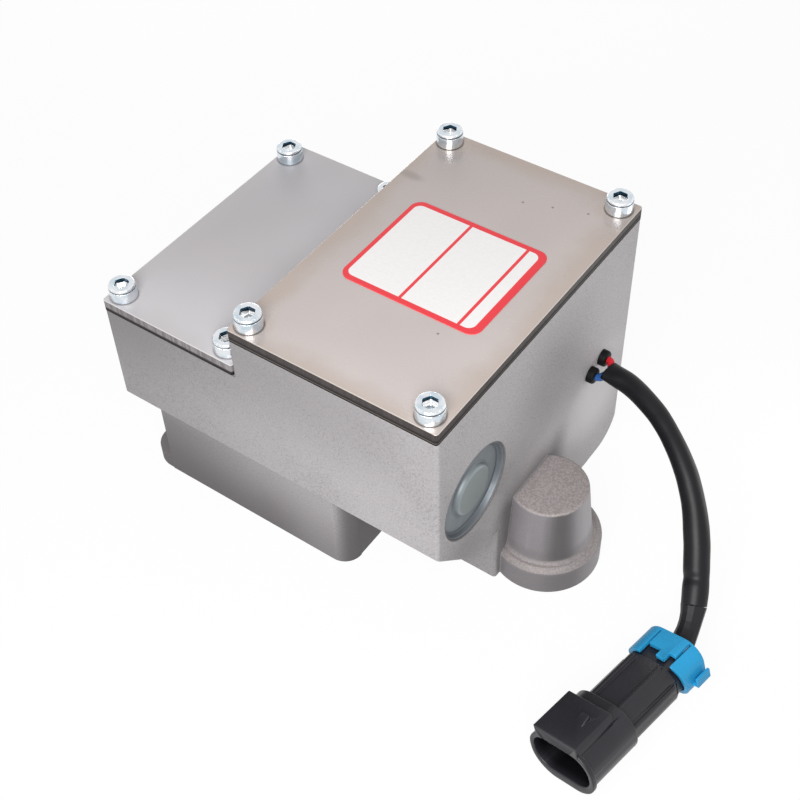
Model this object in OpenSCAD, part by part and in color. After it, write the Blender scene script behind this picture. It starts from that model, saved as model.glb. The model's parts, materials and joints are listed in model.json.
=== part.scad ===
// Engine governor actuator: a cast housing with a rotary electromagnet, a lever chamber and a
// short lead with its connector. The mounting face is z = 0, seen from the front along +Y.

/* [Casting] */
// Width of the casting's upper body
body_w = 152; // [148:1:156]
// Depth of the upper body
body_d = 138; // [136:1:144]
// Height of the magnet chamber's rim above the mounting face
main_top = 119; // [117:0.5:124]
// Height of the lever chamber's rim
lever_top = 101; // [100:0.5:103]
// Width of the lever chamber's low side
lever_w = 63.5; // [62.5:0.5:64.5]
// Depth of the lever chamber's low side
lever_d = 116; // [114:1:120]
// Height of the front face's lower edge
apron_z = 56.3; // [55:0.1:57.5]
// Height of the upper body's underside
belly_z = 30.5; // [29:0.5:31.5]
// Depth of the sloping face under the front
slope_d = 25; // [23:0.5:26]
// Wall thickness of the casting
wall = 7; // [6.5:0.1:7.2]
// Radius of the casting's upright corners
corner_r = 1.5; // [1:0.5:3]
// Radius of the lower rear edge
rear_r = 15; // [12:0.5:16]

/* [Mounting block] */
// Distance of the block's left wall from the casting's left face
block_x = 4.6; // [4:0.1:5]
// Distance of the block's front wall from the casting's front face
block_y = 15.7; // [15:0.1:16.4]
// Width of the block
block_w = 95.8; // [93:0.2:98]
// Depth of the block
block_d = 96.3; // [94:0.1:99]
// Height of the mounting flange
flange_h = 7.8; // [6:0.1:9]
// How far the flange stands out on the left
flange_side = 11.6; // [9:0.1:12]
// How far the flange stands out in front
flange_front = 4.3; // [3:0.1:5]
// Corner radius of the flange
flange_r = 10; // [8:0.5:11]
// Distance of the neck's front wall from the casting's front face
neck_y = 40; // [38:0.5:42]

/* [Ear] */
// Radius of the ear on the right
ear_r = 22.5; // [20.5:0.5:23]
// Distance of the ear's centre from the casting's right face
ear_out = 8.5; // [8:0.1:10]
// Distance of the ear's centre from the front face
ear_y = 64.5; // [63:0.5:67]
// Thickness of the ear
ear_h = 13.7; // [12:0.1:15]
// Height of the boss on the ear
ear_boss_h = 40.6; // [38:0.1:43]
// Radius of that boss at its foot
ear_boss_r = 18.2; // [17.5:0.1:19]
// Radius of that boss at its top
ear_boss_top_r = 15.7; // [15:0.1:16.5]

/* [Covers] */
// Thickness of the magnet chamber's cover
main_cover_t = 3.2; // [2.5:0.1:4]
// Thickness of the gasket under it
main_gasket_t = 2.2; // [1.5:0.1:2.5]
// Thickness of the lever chamber's cover
lever_cover_t = 3.4; // [2.5:0.1:4]
// Thickness of the gasket under it
lever_gasket_t = 1.6; // [1:0.1:2]
// Gap between the two covers
cover_gap = 0.3; // [0.2:0.1:0.5]
// Radius of the covers' corners
cover_r = 1.2; // [1:0.1:3]
// Distance of the cover screws from the right edges
screw_inset = 6.8; // [6.2:0.1:7.2]
// Distance of the cover screws from the left edges
screw_inset_left = 5.5; // [5.4:0.1:6.6]
// Radius of the cover screws
screw_r = 3; // [2.5:0.1:3.2]
// Radius of their heads
head_r = 5.3; // [4.6:0.1:5.4]
// Height of their heads
head_h = 6.3; // [5:0.1:6.6]
// Key size of their sockets
key_w = 5.2; // [4:0.1:5.3]
// Length of their shanks
screw_len = 18; // [14:0.5:20]

/* [Rating plate] */
// Width of the plate
plate_w = 59; // [50:1:62]
// Depth of the plate
plate_d = 50.6; // [44:0.2:54]
// Thickness of the plate
plate_t = 0.3; // [0.2:0.1:0.5]
// Corner radius of the plate
plate_r = 4.5; // [3:0.5:5]

/* [Shaft and bearings] */
// Distance of the shaft from the front face
shaft_y = 24.2; // [24:0.1:24.6]
// Height of the shaft
shaft_z = 71.5; // [71:0.1:72]
// Radius of the shaft's journals
shaft_r = 6; // [5.5:0.1:6.2]
// Radius of the shaft between the bearings
shaft_mid_r = 8; // [7.5:0.1:8.2]
// Outer radius of the bearings
bearing_r = 14; // [13.6:0.1:14.4]
// Width of the bearings
bearing_w = 8; // [7.5:0.1:8.2]
// Radius of the plug that closes the bore
plug_r = 19.5; // [18.5:0.1:20]
// Depth of the plug's seat
plug_depth = 4.5; // [4:0.1:4.8]

/* [Magnet] */
// Radius of the armature
armature_r = 15; // [14:0.1:15.3]
// Air gap between the armature and the poles
air_gap = 1; // [0.5:0.1:1.2]
// Free space between the lamination stack and the right wall
stack_rear = 17; // [16:0.5:20]
// Width of the yoke inside the coil
yoke_d = 16; // [14:0.5:17]

/* [Lever and link] */
// Radius from the shaft to the lever's pin
lever_r = 42; // [40:0.5:43]
// Thickness of the lever's arm
arm_t = 8; // [7:0.1:8.4]
// Height of the lever's arm
arm_h = 12; // [10:0.5:13]
// Radius of the lever's pin
pin_r = 3; // [2.5:0.1:3.2]
// Length of the link between its eyes
link_len = 52; // [50:0.5:54]
// Thickness of the link
link_t = 4; // [3:0.1:4.2]
// Radius of the link's lower bore
link_bore_r = 2.55; // [2:0.05:2.8]

/* [Return spring] */
// Mean radius of the spring's coil
coil_r = 10.5; // [10:0.1:10.8]
// Radius of the spring's wire
wire_r = 1.1; // [0.9:0.05:1.2]

/* [Leads] */
// Radius of the leads' insulation
lead_r = 1.6; // [1.3:0.1:1.8]
// Radius of the grommets' flanges
grommet_r = 4; // [3.8:0.1:4.3]
// How far the grommets stand out
grommet_out = 3; // [2.5:0.1:3.5]

/* [Connector] */
// Half of the width of the connector's shroud
shroud_half_w = 14.8; // [14.6:0.1:15.6]
// Height of the shroud
shroud_h = 22.2; // [21.6:0.1:23]
// Length of the shroud
shroud_len = 25.5; // [24:0.5:27]
// Half of the width of the connector's body
shell_half_w = 11; // [10.5:0.1:11.4]
// Length of the whole shell
shell_len = 62; // [61:0.5:64]
// Length of the locking clip
clip_len = 14; // [13.4:0.2:15]
// Wall thickness of the locking clip
clip_t = 1.8; // [1.4:0.1:2]

/* [Hidden] */
$fn = 64;

// One overrun for all cuts
over = 1;
// Radial clearance of fitted pieces
fit = 0.03;
// Clearance of pieces that lie beside each other
gap = 0.3;

// The origin lies under the middle of the casting's box
flange_x = block_x - flange_side;
ear_x = body_w + ear_out;
origin_x = (flange_x + ear_x + ear_r) / 2;
origin_y = body_d / 2;

// Casting
cast_grey = [0.66, 0.655, 0.65];
block_end = block_x + block_w;
block_back = block_y + block_d;
block_corner_r = 12;
partition_x = lever_w - wall / 2;
main_x0 = lever_w + wall;
main_x1 = body_w - wall;
floor_z = belly_z + wall;
slope_tan = (apron_z - belly_z) / slope_d;
inner_rise = wall * sqrt(1 + slope_tan * slope_tan);
slope_foot = (apron_z + inner_rise - floor_z) / slope_tan;
slope_top = apron_z + inner_rise - slope_tan * wall;
pocket_x0 = block_x + wall;
pocket_x1 = block_end - wall;
pocket_y0 = block_y + wall;
pocket_y1 = block_back - wall;
window_x1 = partition_x - wall / 2;
neck_in = 1;
neck_x = block_end - wall - neck_in;
flange_back = block_back + flange_front;
flare_h = 12;
ear_rim_r = 2;
boss_extra = 0.5;
boss_r = screw_inset + boss_extra;
boss_foot = 1.9;
boss_edge = 0.7;
screw_front = 6.3;
screw_back = [6.3, 8.9];
screw_boss_depth = 20;

// Mounting threads, from below
mount_r = 3.4;
mount_depths = [20, 22, 24, 28];
mount_boss_r = 8.5;
mount_boss_h = 26;
mount_inset_x = 5.4;
mount_inset_y = 8.3;
mount_left_x = block_x + mount_inset_x;
mount_front_y = block_y + mount_inset_y;
mount_back_y = block_back - mount_inset_y;
mount_right_x = body_w - mount_inset_y;
mount_rear_y = body_d - wall - mount_inset_x;
mount_places = [
  [mount_left_x, mount_front_y], [mount_left_x, mount_back_y],
  [mount_right_x, mount_rear_y], [ear_x, ear_y]
];

// Bearing seats, with a lip behind each outer ring
lip_t = 2.5;
lip_w = 3.5;
lip_r = bearing_r - lip_w;
seat_wall = 5;
ring_groove_w = 1.3;
ring_groove_d = 0.8;
right_seat_x = main_x1 - bearing_w;
left_seat_x = main_x0 - bearing_w;

// Lamination stack
stack_foot = 13.5;
stack_x0 = main_x0 + stack_foot;
stack_x1 = main_x1 - stack_rear;
stack_edge = 2.5;
stack_free = 15;
stack_y0 = wall + stack_edge;
stack_z0 = floor_z + stack_edge;
stack_z1 = main_top - stack_free;
stack_y1 = body_d - wall - stack_free;
yoke_y0 = stack_y1 - yoke_d;
pole_half = 11.5;
pole_z0 = shaft_z - pole_half;
pole_z1 = shaft_z + pole_half;
window_low = 15.5;
window_high = 16.5;
window_z0 = shaft_z - window_low;
window_z1 = shaft_z + window_high;
throat_w = 4.8;
throat_y = shaft_y + armature_r + throat_w;
bolt_r = 2.5;
bolt_boss_r = 6;
bolt_head_r = 4.25;
bolt_head_h = 5;
bolt_in = 8;
bolt_behind = 14;
bolt_places = [
  [throat_y + bolt_behind, stack_z1 - bolt_in],
  [yoke_y0 + bolt_in, stack_z0 + bolt_in],
  [yoke_y0 + bolt_in, stack_z1 - bolt_in]
];

// How far the rating plate sits off the middle of its cover
plate_shift = 1.2;

// Coil
former_t = 1.5;
former_rim = 8;
former_out = stack_edge + former_rim - 1;
winding_in = 1.5;

// Shaft end and lever, as shares of the lever chamber's width
lever_shares = [14 / 99, 10 / 33];
lever_room = window_x1 - wall;
shaft_x0 = wall + lever_room * lever_shares[0];
shaft_end = 0.5;
shaft_x1 = main_x1 - shaft_end;

// Lever
lever_x0 = wall + lever_room * lever_shares[1];
hub_w = 14;
hub_wall = 5;
hub_r = shaft_r + hub_wall;
arm_in = 3;
arm_x0 = lever_x0 + arm_in;
arm_x1 = arm_x0 + arm_t;
lug_h = 8;
lug_top = hub_r + lug_h;
lug_half = 7;
slit_w = 1.5;
clamp_r = 2;
clamp_up = 3.6;
clamp_z = shaft_z + hub_r + clamp_up;
clamp_head_r = 3.5;
clamp_head_h = 4;
pin_head_r = 4.5;
pin_head_t = 2.5;
pin_y = shaft_y + lever_r;
link_x0 = arm_x1 + gap;
link_x1 = link_x0 + link_t;
link_eye_r = 7;
link_foot_r = 6;
link_bar = 9;
link_bar_t = 3;
running = 0.05;
clip_ring_t = 1;
clip_ring_r = 5;
clip_groove_d = 0.5;
clip_groove_r = pin_r - clip_groove_d;
clip_ring_x = link_x1 + gap;
pin_tip = 1;
pin_end_x = clip_ring_x + clip_ring_t + pin_tip;
low_eye_z = shaft_z - link_len;

// Idle stop on a rib of the front wall
rib_half = 4;
rib_aside = 1;
rib_x = arm_x0 + arm_t / 2 - rib_aside;
stop_out = 5.8;
stop_y = shaft_y + hub_r + stop_out;
rib_edge = 5;
rib_y1 = stop_y + rib_edge;
rib_h = 12;
rib_drop = 7.5;
rib_z1 = shaft_z - arm_h / 2 - rib_drop;
rib_z0 = rib_z1 - rib_h;
stop_r = 2.5;
stop_tail = 4;
stop_top_z = shaft_z - arm_h / 2 - gap;
stop_low_z = rib_z0 - stop_tail;
nut_h = 3;
nut_r = 4.6;

// Return spring, with as many turns as fit beside the link
coil_free = 2.2;
coil_end = 1;
coil_x0 = link_x1 + coil_free;
coil_pitch = 2 * wire_r + gap;
coil_turns = floor((window_x1 - coil_end - coil_x0) / coil_pitch);
coil_x1 = coil_x0 + coil_turns * coil_pitch;
post_r = 3;
post_out = 19.8;
post_y = shaft_y + post_out;
post_z = shaft_z - coil_r + wire_r + post_r + gap;
post_x0 = coil_x1 - 2 * wire_r;
post_in = 5;
free_reach = 25;
free_y = shaft_y + free_reach;
free_z = shaft_z + arm_h / 2 + wire_r + gap;
free_x = arm_x0 + arm_t / 2;

// Leads and grommets
lead_red_back = 21.5;
lead_red_drop = 9.1;
lead_blue_back = 30.6;
lead_blue_drop = 11.1;
lead_red_at = [body_d - lead_red_back, shaft_z - lead_red_drop];
lead_blue_at = [body_d - lead_blue_back, shaft_z - lead_blue_drop];
grommet_neck_r = 3.2;
grommet_lip = 1.5;

// Row-frame route of the sleeve, in millimetres, and what is on its far end
sleeve_r = 4.4;
sleeve_end_r = 5;
mouth_half_w = 4.9;
mouth_half_h = 2.6;
sleeve_route = [
  [70, 42.5, 62], [74.5, 42, 62], [79, 41, 62], [83, 39.5, 62], [87.5, 38, 61.5],
  [91, 36, 61], [95, 33.5, 60], [99, 31.5, 59], [102.5, 29.5, 57.5], [106, 27, 56],
  [109.5, 25, 54], [112.5, 22.5, 52], [116, 20.5, 49.5], [119, 18, 47.5], [122, 16, 44.5],
  [124.5, 13.5, 42], [127, 11, 39], [129.5, 9, 36], [131.5, 6, 33], [133.5, 3.5, 30],
  [135.5, 0.5, 27.5], [137, -2.5, 24.5], [138.6, -6, 22], [139.8, -9.2, 19]
];
lead_red_tail = [[68.5, 47, 62.4], [69.3, 46, 62.3], [70, 44.9, 62.1]];
lead_blue_tail = [[68.5, 38.8, 60.6], [69.3, 39.5, 61.1], [70, 40.3, 61.6]];
sleeve_rings = [for (i = [0 : 4 : 20]) sleeve_route[i], sleeve_route[23]];

// The route was drawn from this place between the grommets, and moves with them
drawn_at = [64, 42.95];
moved = [body_w - origin_x - drawn_at[0],
         (lead_red_at[0] + lead_blue_at[0]) / 2 - origin_y - drawn_at[1], 0];

// Connector, in its own frame: x across, y from the mouth to the rear, z up
connector_yaw = -10.3;
connector_roll = -18;
connector_at = [133.8, -91.4, 2.25];
shell_low = 0.6;
shell_h = 18.6;
cavity_half_w = 12.8;
cavity_low = 4;
cavity_h = 19.4;
cavity_r = 7;
cavity_len = 20;
shroud_corner_r = 10.3;
lip_len = 2;
lip_step = 0.9;
shell_corner_r = 6.5;
crown_h = 25;
crown_half_w = 9.9;
crown_len = 19.4;
crown_deep = 6;
ramp_w = 3.6;
ramp_x = 1.6;
ramp_y = 8.6;
ramp_len = 5;
ramp_h = 1.6;
rail_w = 2;
rail_h = 1;
rail_x = 6;
clip_over = 3.8;
clip_y = shell_len + clip_over - clip_len;
clip_out = 1.8;
clip_half_w = shell_half_w + clip_out;
clip_low = -0.3;
clip_h = 19.6;
clip_r = 8;
clip_lean = 5;
slot_w = 0.8;
slot_left = -5;
slot_right = 8;
slot_end = 1;
notch_len = 5.2;
tongue_x = 1.2;
tongue_w = 3.8;
tongue_len = 3.6;
tab_out = 2.3;
tab_t = 1;
tab_len = 7.4;
tab_low = 6;
tab_h = 4;
necked_half_w = clip_half_w - clip_t - gap;
rear_cavity = 10;
rear_wall = 2;
pin_half = 5.3;
blade_w = 3;
blade_t = 0.9;
blade_len = 12;
blade_z = 11.2;
blade_root = 8;
boot_w = 7;
boot_h = 5;
boot_neck_r = 3.7;
boot_top_r = 5;

function unit(v) = v / norm(v);
function along(p) = [
  for (i = [0 : len(p) - 1]) unit(p[min(i + 1, len(p) - 1)] - p[max(i - 1, 0)])
];
function square_to(n, t) = unit(n - (n * t) * t);
function carried(t, n0) = [
  for (i = 0, n = square_to(n0, t[0]); i < len(t); i = i + 1,
       n = i < len(t) ? square_to(n, t[i]) : n) n
];

// A solid swept along points, with its half width and half height at each of them
module swept(p, half, n0, sides) {
  t = along(p);
  n = carried(t, n0);
  points = [
    for (i = [0 : len(p) - 1], k = [0 : sides - 1])
      p[i] + half[i][0] * cos(360 * k / sides) * n[i]
           + half[i][1] * sin(360 * k / sides) * cross(t[i], n[i])
  ];
  last = (len(p) - 1) * sides;
  walls = [
    for (i = [0 : len(p) - 2], k = [0 : sides - 1], f = [0, 1])
      let (a = i * sides + k, b = i * sides + (k + 1) % sides)
      f == 0 ? [a, a + sides, b + sides] : [a, b + sides, b]
  ];
  ends = [[for (k = [0 : sides - 1]) k], [for (k = [sides - 1 : -1 : 0]) last + k]];
  polyhedron(points, concat(walls, ends));
}

// Places the body's own coordinates, with the front left corner at zero, in the part's frame
module placed() {
  translate([-origin_x, -origin_y, 0]) children();
}

// An outline in depth and height, drawn out across from x0 to x1
module across(points, x0, x1) {
  translate([x0, 0, 0]) rotate([90, 0, 90]) linear_extrude(x1 - x0) polygon(points);
}

// A round bar or bore across the body, at a depth and height
module bar(r, x0, x1, y, z) {
  translate([x0, y, z]) rotate([0, 90, 0]) cylinder(h = x1 - x0, r = r);
}

// A box between two corners
module block(low, high) {
  translate(low) cube(high - low);
}

// A plate with round upright corners
module rounded(x0, y0, x1, y1, z0, z1, r) {
  translate([0, 0, z0]) linear_extrude(z1 - z0) union() {
    translate([x0 + r, y0]) square([x1 - x0 - 2 * r, y1 - y0]);
    translate([x0, y0 + r]) square([x1 - x0, y1 - y0 - 2 * r]);
    for (x = [x0 + r, x1 - r], y = [y0 + r, y1 - r]) translate([x, y]) circle(r);
  }
}

// A rounded outline across the connector, drawn out along it
module along_plug(x0, x1, z0, z1, y0, y1, r) {
  translate([0, y1, 0]) rotate([90, 0, 0]) linear_extrude(y1 - y0) union() {
    translate([x0 + r, z0]) square([x1 - x0 - 2 * r, z1 - z0]);
    translate([x0, z0 + r]) square([x1 - x0, z1 - z0 - 2 * r]);
    for (x = [x0 + r, x1 - r], z = [z0 + r, z1 - r]) translate([x, z]) circle(r);
  }
}

main_screw_places = [
  for (x = [lever_w + screw_inset_left, body_w - screw_inset],
       y = [screw_front, body_d - screw_back[0]]) [x, y]
];
lever_screw_places = [
  for (x = [screw_inset_left, lever_w - screw_inset],
       y = [screw_front, lever_d - screw_back[1]]) [x, y]
];

module main_block(z0, z1) {
  rounded(lever_w, 0, body_w, body_d, z0, z1, corner_r);
}

module lever_block(z0, z1) {
  rounded(0, 0, lever_w, lever_d, z0, z1, corner_r);
}

// The upper body, with the sloping face under its front
module upper_body() {
  difference() {
    union() {
      main_block(belly_z, main_top);
      lever_block(belly_z, lever_top);
      rounded(0, 0, body_w, lever_d, belly_z, lever_top, corner_r);
    }
    across([[-over, apron_z + slope_tan * over], [-over, belly_z - over],
            [slope_d + over / slope_tan, belly_z - over]], -over, body_w + over);
  }
}

// The lower block with its flange, flared into the walls
module lower_block() {
  rounded(block_x, block_y, block_end, block_back, 0, apron_z - slope_tan * block_y,
          block_corner_r / 4);
  rounded(flange_x, block_y - flange_front, block_end, flange_back, 0, flange_h, flange_r);
  hull() {
    rounded(block_x - flange_side / 2, block_y - flange_front / 2, block_end, block_back,
            flange_h - over, flange_h, flange_r, $fn = 32);
    rounded(block_x, block_y, block_end - block_corner_r, block_back, flange_h,
            flange_h + flare_h, block_corner_r / 4, $fn = 32);
  }
}

// The neck under the right half, with its rounded rear edge
module neck() {
  difference() {
    rounded(neck_x, neck_y, body_w, body_d, 0, belly_z + over, corner_r);
    difference() {
      block([neck_x - over, body_d - rear_r, -over], [body_w + over, body_d + over, rear_r]);
      bar(rear_r, neck_x - 2 * over, body_w + 2 * over, body_d - rear_r, rear_r);
    }
  }
}

module ear() {
  translate([ear_x, ear_y, 0]) {
    cylinder(h = ear_h - ear_rim_r, r = ear_r);
    translate([0, 0, ear_h - ear_rim_r]) cylinder(h = ear_rim_r, r1 = ear_r, r2 = ear_r - ear_rim_r);
    translate([0, 0, ear_h - boss_edge]) rotate_extrude() polygon([
      [0, 0], [ear_boss_r + boss_foot * 1.3, 0],
      [ear_boss_r + boss_foot * 0.4, boss_edge + boss_foot * 0.25],
      [ear_boss_r, boss_edge + boss_foot], [ear_boss_top_r, ear_boss_h - ear_h],
      [ear_boss_top_r - boss_edge, ear_boss_h - ear_h + boss_edge],
      [0, ear_boss_h - ear_h + boss_edge]
    ]);
  }
}

// What the casting keeps inside its chambers
module inner_bosses() {
  intersection() {
    main_block(0, main_top);
    for (p = main_screw_places)
      translate([p[0], p[1], main_top - screw_boss_depth]) cylinder(h = screw_boss_depth, r = boss_r);
  }
  intersection() {
    lever_block(0, lever_top);
    for (p = lever_screw_places)
      translate([p[0], p[1], lever_top - screw_boss_depth])
        cylinder(h = screw_boss_depth, r = boss_r);
  }
  for (y = [mount_front_y, mount_back_y])
    translate([mount_left_x, y, 0]) cylinder(h = mount_boss_h, r = mount_boss_r);
  translate([mount_right_x, mount_rear_y, 0]) cylinder(h = belly_z + wall, r = mount_boss_r);
  bar(bearing_r + seat_wall, right_seat_x - lip_t, main_x1 + over, shaft_y, shaft_z);
  for (p = bolt_places) bar(bolt_boss_r, main_x0 - over, stack_x0, p[0], p[1]);
  block([rib_x - rib_half, 0, rib_z0], [rib_x + rib_half, rib_y1, rib_z1]);
}

module chambers() {
  across([[wall, slope_top], [wall, main_top + over], [body_d - wall, main_top + over],
          [body_d - wall, floor_z], [slope_foot, floor_z]], main_x0, main_x1);
  across([[wall, slope_top], [wall, lever_top + over], [lever_d - wall, lever_top + over],
          [lever_d - wall, floor_z], [slope_foot, floor_z]], wall, partition_x);
  block([pocket_x0, pocket_y0, -over], [window_x1, pocket_y1, floor_z + over]);
  block([window_x1 - over, pocket_y0, -over], [pocket_x1, pocket_y1, belly_z]);
  block([neck_x + wall, neck_y + wall, -over], [body_w - wall, body_d - wall, belly_z]);
}

// Bores for bearings, shaft, plug, leads and screws
module bores() {
  bar(bearing_r, left_seat_x, main_x0 + over, shaft_y, shaft_z);
  bar(lip_r, partition_x - over, main_x0, shaft_y, shaft_z);
  bar(lip_r, right_seat_x - lip_t - over, main_x1, shaft_y, shaft_z);
  bar(bearing_r, right_seat_x, body_w, shaft_y, shaft_z);
  bar(bearing_r + ring_groove_d, main_x1, main_x1 + ring_groove_w, shaft_y, shaft_z);
  bar(plug_r, body_w - plug_depth, body_w + over, shaft_y, shaft_z);
  for (p = [lead_red_at, lead_blue_at])
    bar(grommet_neck_r + fit, main_x1 - over, body_w + over, p[0], p[1]);
  for (p = bolt_places) bar(bolt_r + fit, partition_x + over, stack_x0 + over, p[0], p[1]);
  bar(post_r + fit, partition_x - over, partition_x + post_in + gap, post_y, post_z);
  translate([rib_x, stop_y, rib_z0 - over]) cylinder(h = rib_h + 2 * over, r = stop_r + fit);
  for (p = main_screw_places)
    translate([p[0], p[1], main_top - screw_len]) cylinder(h = screw_len + over, r = screw_r + fit);
  for (p = lever_screw_places)
    translate([p[0], p[1], lever_top - screw_len]) cylinder(h = screw_len + over, r = screw_r + fit);
  for (i = [0 : len(mount_places) - 1])
    translate([mount_places[i][0], mount_places[i][1], -over])
      cylinder(h = mount_depths[i] + over, r = mount_r);
}

module housing() {
  color(cast_grey) placed() difference() {
    union() {
      upper_body();
      lower_block();
      neck();
      ear();
    }
    difference() {
      chambers();
      inner_bosses();
    }
    bores();
  }
}

// A cover or gasket with its screw holes
module lid(x0, x1, d, z0, t, places, r) {
  difference() {
    rounded(x0, 0, x1, d, z0, z0 + t, cover_r);
    for (p = places) translate([p[0], p[1], z0 - over]) cylinder(h = t + 2 * over, r = r);
  }
}

module main_cover() {
  color([0.76, 0.73, 0.7]) placed()
    lid(lever_w, body_w, body_d, main_top + main_gasket_t, main_cover_t, main_screw_places,
        screw_r + gap);
}

module lever_cover() {
  color([0.73, 0.72, 0.72]) placed()
    lid(0, lever_w - cover_gap, lever_d, lever_top + lever_gasket_t, lever_cover_t,
        lever_screw_places, screw_r + gap);
}

module main_cover_gasket() {
  color([0.1, 0.1, 0.1]) placed() difference() {
    lid(lever_w, body_w, body_d, main_top, main_gasket_t, main_screw_places, screw_r + gap);
    difference() {
      block([main_x0, wall, main_top - over], [main_x1, body_d - wall, main_top + 2 * main_gasket_t]);
      for (p = main_screw_places)
        translate([p[0], p[1], main_top - over]) cylinder(h = 4 * main_gasket_t, r = boss_r);
    }
  }
}

module lever_cover_gasket() {
  color([0.1, 0.1, 0.1]) placed() difference() {
    lid(0, lever_w - cover_gap, lever_d, lever_top, lever_gasket_t, lever_screw_places,
        screw_r + gap);
    difference() {
      block([wall, wall, lever_top - over], [partition_x, lever_d - wall, lever_top + 2 * lever_gasket_t]);
      for (p = lever_screw_places)
        translate([p[0], p[1], lever_top - over]) cylinder(h = 4 * lever_gasket_t, r = boss_r);
    }
  }
}

// Socket head screw, standing on z = 0 with its shank below
module socket_screw() {
  groove = head_r / 20;
  difference() {
    rotate_extrude() polygon([
      [0, 0], [head_r, 0], [head_r, head_h * 0.74], [head_r - groove, head_h * 0.77],
      [head_r - groove, head_h * 0.8], [head_r - groove / 2, head_h * 0.82],
      [head_r - groove / 2, head_h * 0.9], [head_r - 2 * groove, head_h], [0, head_h]
    ]);
    translate([0, 0, head_h / 2]) cylinder(h = head_h, r = key_w / sqrt(3), $fn = 6);
  }
  translate([0, 0, -screw_len]) cylinder(h = screw_len, r = screw_r);
}

module main_cover_screws() {
  color([0.82, 0.83, 0.84]) placed() for (p = main_screw_places)
    translate([p[0], p[1], main_top + main_gasket_t + main_cover_t]) socket_screw();
}

module lever_cover_screws() {
  color([0.82, 0.83, 0.84]) placed() for (p = lever_screw_places)
    translate([p[0], p[1], lever_top + lever_gasket_t + lever_cover_t]) socket_screw();
}

// Dished plug pressed into the right-hand bore
module core_plug() {
  rim = plug_depth / 9;
  dish = plug_depth * 0.6;
  r = plug_r - fit;
  color([0.6, 0.62, 0.63]) placed()
    translate([body_w - plug_depth, shaft_y, shaft_z]) rotate([0, 90, 0]) rotate_extrude()
      polygon([
        [0, 0], [r, 0], [r, plug_depth - rim], [r - rim, plug_depth - rim],
        [r - 2 * rim, plug_depth - dish], [r * 0.59, plug_depth - dish],
        [r * 0.55, plug_depth - dish * 0.9], [r * 0.52, plug_depth - 2.4 * rim],
        [r * 0.49, plug_depth - 1.6 * rim], [r * 0.44, plug_depth - 1.4 * rim],
        [0, plug_depth - 1.4 * rim]
      ]);
}

module rating_plate() {
  color([0.85, 0.84, 0.83]) placed()
    translate([(lever_w + body_w + plate_shift) / 2, (body_d + plate_shift) / 2,
               main_top + main_gasket_t + main_cover_t])
      rounded(-plate_w / 2, -plate_d / 2, plate_w / 2, plate_d / 2, 0, plate_t, plate_r);
}

module grommet(p) {
  difference() {
    union() {
      bar(grommet_r, body_w, body_w + grommet_out, p[0], p[1]);
      bar(grommet_neck_r, main_x1 - grommet_lip, body_w + over, p[0], p[1]);
      bar(grommet_r, main_x1 - grommet_lip, main_x1, p[0], p[1]);
    }
    bar(lead_r + fit, main_x1 - 2 * grommet_lip, body_w + 2 * grommet_out, p[0], p[1]);
  }
}

module lead_grommets() {
  color([0.08, 0.08, 0.08]) placed() {
    grommet(lead_red_at);
    grommet(lead_blue_at);
  }
}

// C-shaped lamination stack with round pole faces over and under the armature
module stator_core() {
  color([0.42, 0.43, 0.45]) placed() difference() {
    across([[stack_y0, stack_z1], [stack_y1, stack_z1], [stack_y1, stack_z0],
            [slope_foot, stack_z0], [stack_y0, slope_top]], stack_x0, stack_x1);
    bar(armature_r + air_gap, stack_x0 - over, stack_x1 + over, shaft_y, shaft_z);
    block([stack_x0 - over, throat_y, window_z0], [stack_x1 + over, yoke_y0, window_z1]);
    block([stack_x0 - over, shaft_y, pole_z0], [stack_x1 + over, throat_y + over, pole_z1]);
    for (p = bolt_places) bar(bolt_r + gap, stack_x0 - over, stack_x1 + over, p[0], p[1]);
  }
}

module stator_screws() {
  color([0.3, 0.3, 0.32]) placed() for (p = bolt_places) {
    bar(bolt_r, partition_x + 2 * over, stack_x1 + over, p[0], p[1]);
    difference() {
      bar(bolt_head_r, stack_x1, stack_x1 + bolt_head_h, p[0], p[1]);
      translate([stack_x1 + bolt_head_h / 2, p[0], p[1]]) rotate([0, 90, 0])
        cylinder(h = bolt_head_h, r = bolt_r, $fn = 6);
    }
  }
}

// Moulded former with a flange at each end of the winding
module coil_bobbin() {
  hole = [[stack_x0 - gap, yoke_y0 - gap], [stack_x1 + gap, stack_y1 + gap]];
  z0 = window_z0 + gap;
  z1 = window_z1 - gap;
  color([0.12, 0.12, 0.13]) placed() difference() {
    union() {
      block([hole[0][0] - former_t, hole[0][1] - former_t, z0],
            [hole[1][0] + former_t, hole[1][1] + former_t, z1]);
      for (z = [z0, z1 - former_t])
        block([hole[0][0] - former_rim - over, hole[0][1] - former_rim - over, z],
              [hole[1][0] + former_rim + over, hole[1][1] + former_rim + over, z + former_t]);
    }
    block([hole[0][0], hole[0][1], z0 - over], [hole[1][0], hole[1][1], z1 + over]);
  }
}

module coil_winding() {
  x0 = stack_x0 - gap - former_rim;
  x1 = stack_x1 + gap + former_rim;
  y0 = yoke_y0 - gap - former_rim;
  y1 = stack_y1 + gap + former_rim;
  t = gap + former_t;
  color([0.62, 0.32, 0.14]) placed() difference() {
    rounded(x0, y0, x1, y1, window_z0 + gap + former_t, window_z1 - gap - former_t, former_rim);
    block([stack_x0 - t, yoke_y0 - t, window_z0], [stack_x1 + t, stack_y1 + t, window_z1]);
  }
}

module actuator_shaft() {
  color([0.75, 0.76, 0.78]) placed() {
    bar(shaft_r, shaft_x0, shaft_x1, shaft_y, shaft_z);
    bar(shaft_mid_r, main_x0 + gap, right_seat_x - gap, shaft_y, shaft_z);
  }
}

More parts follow.
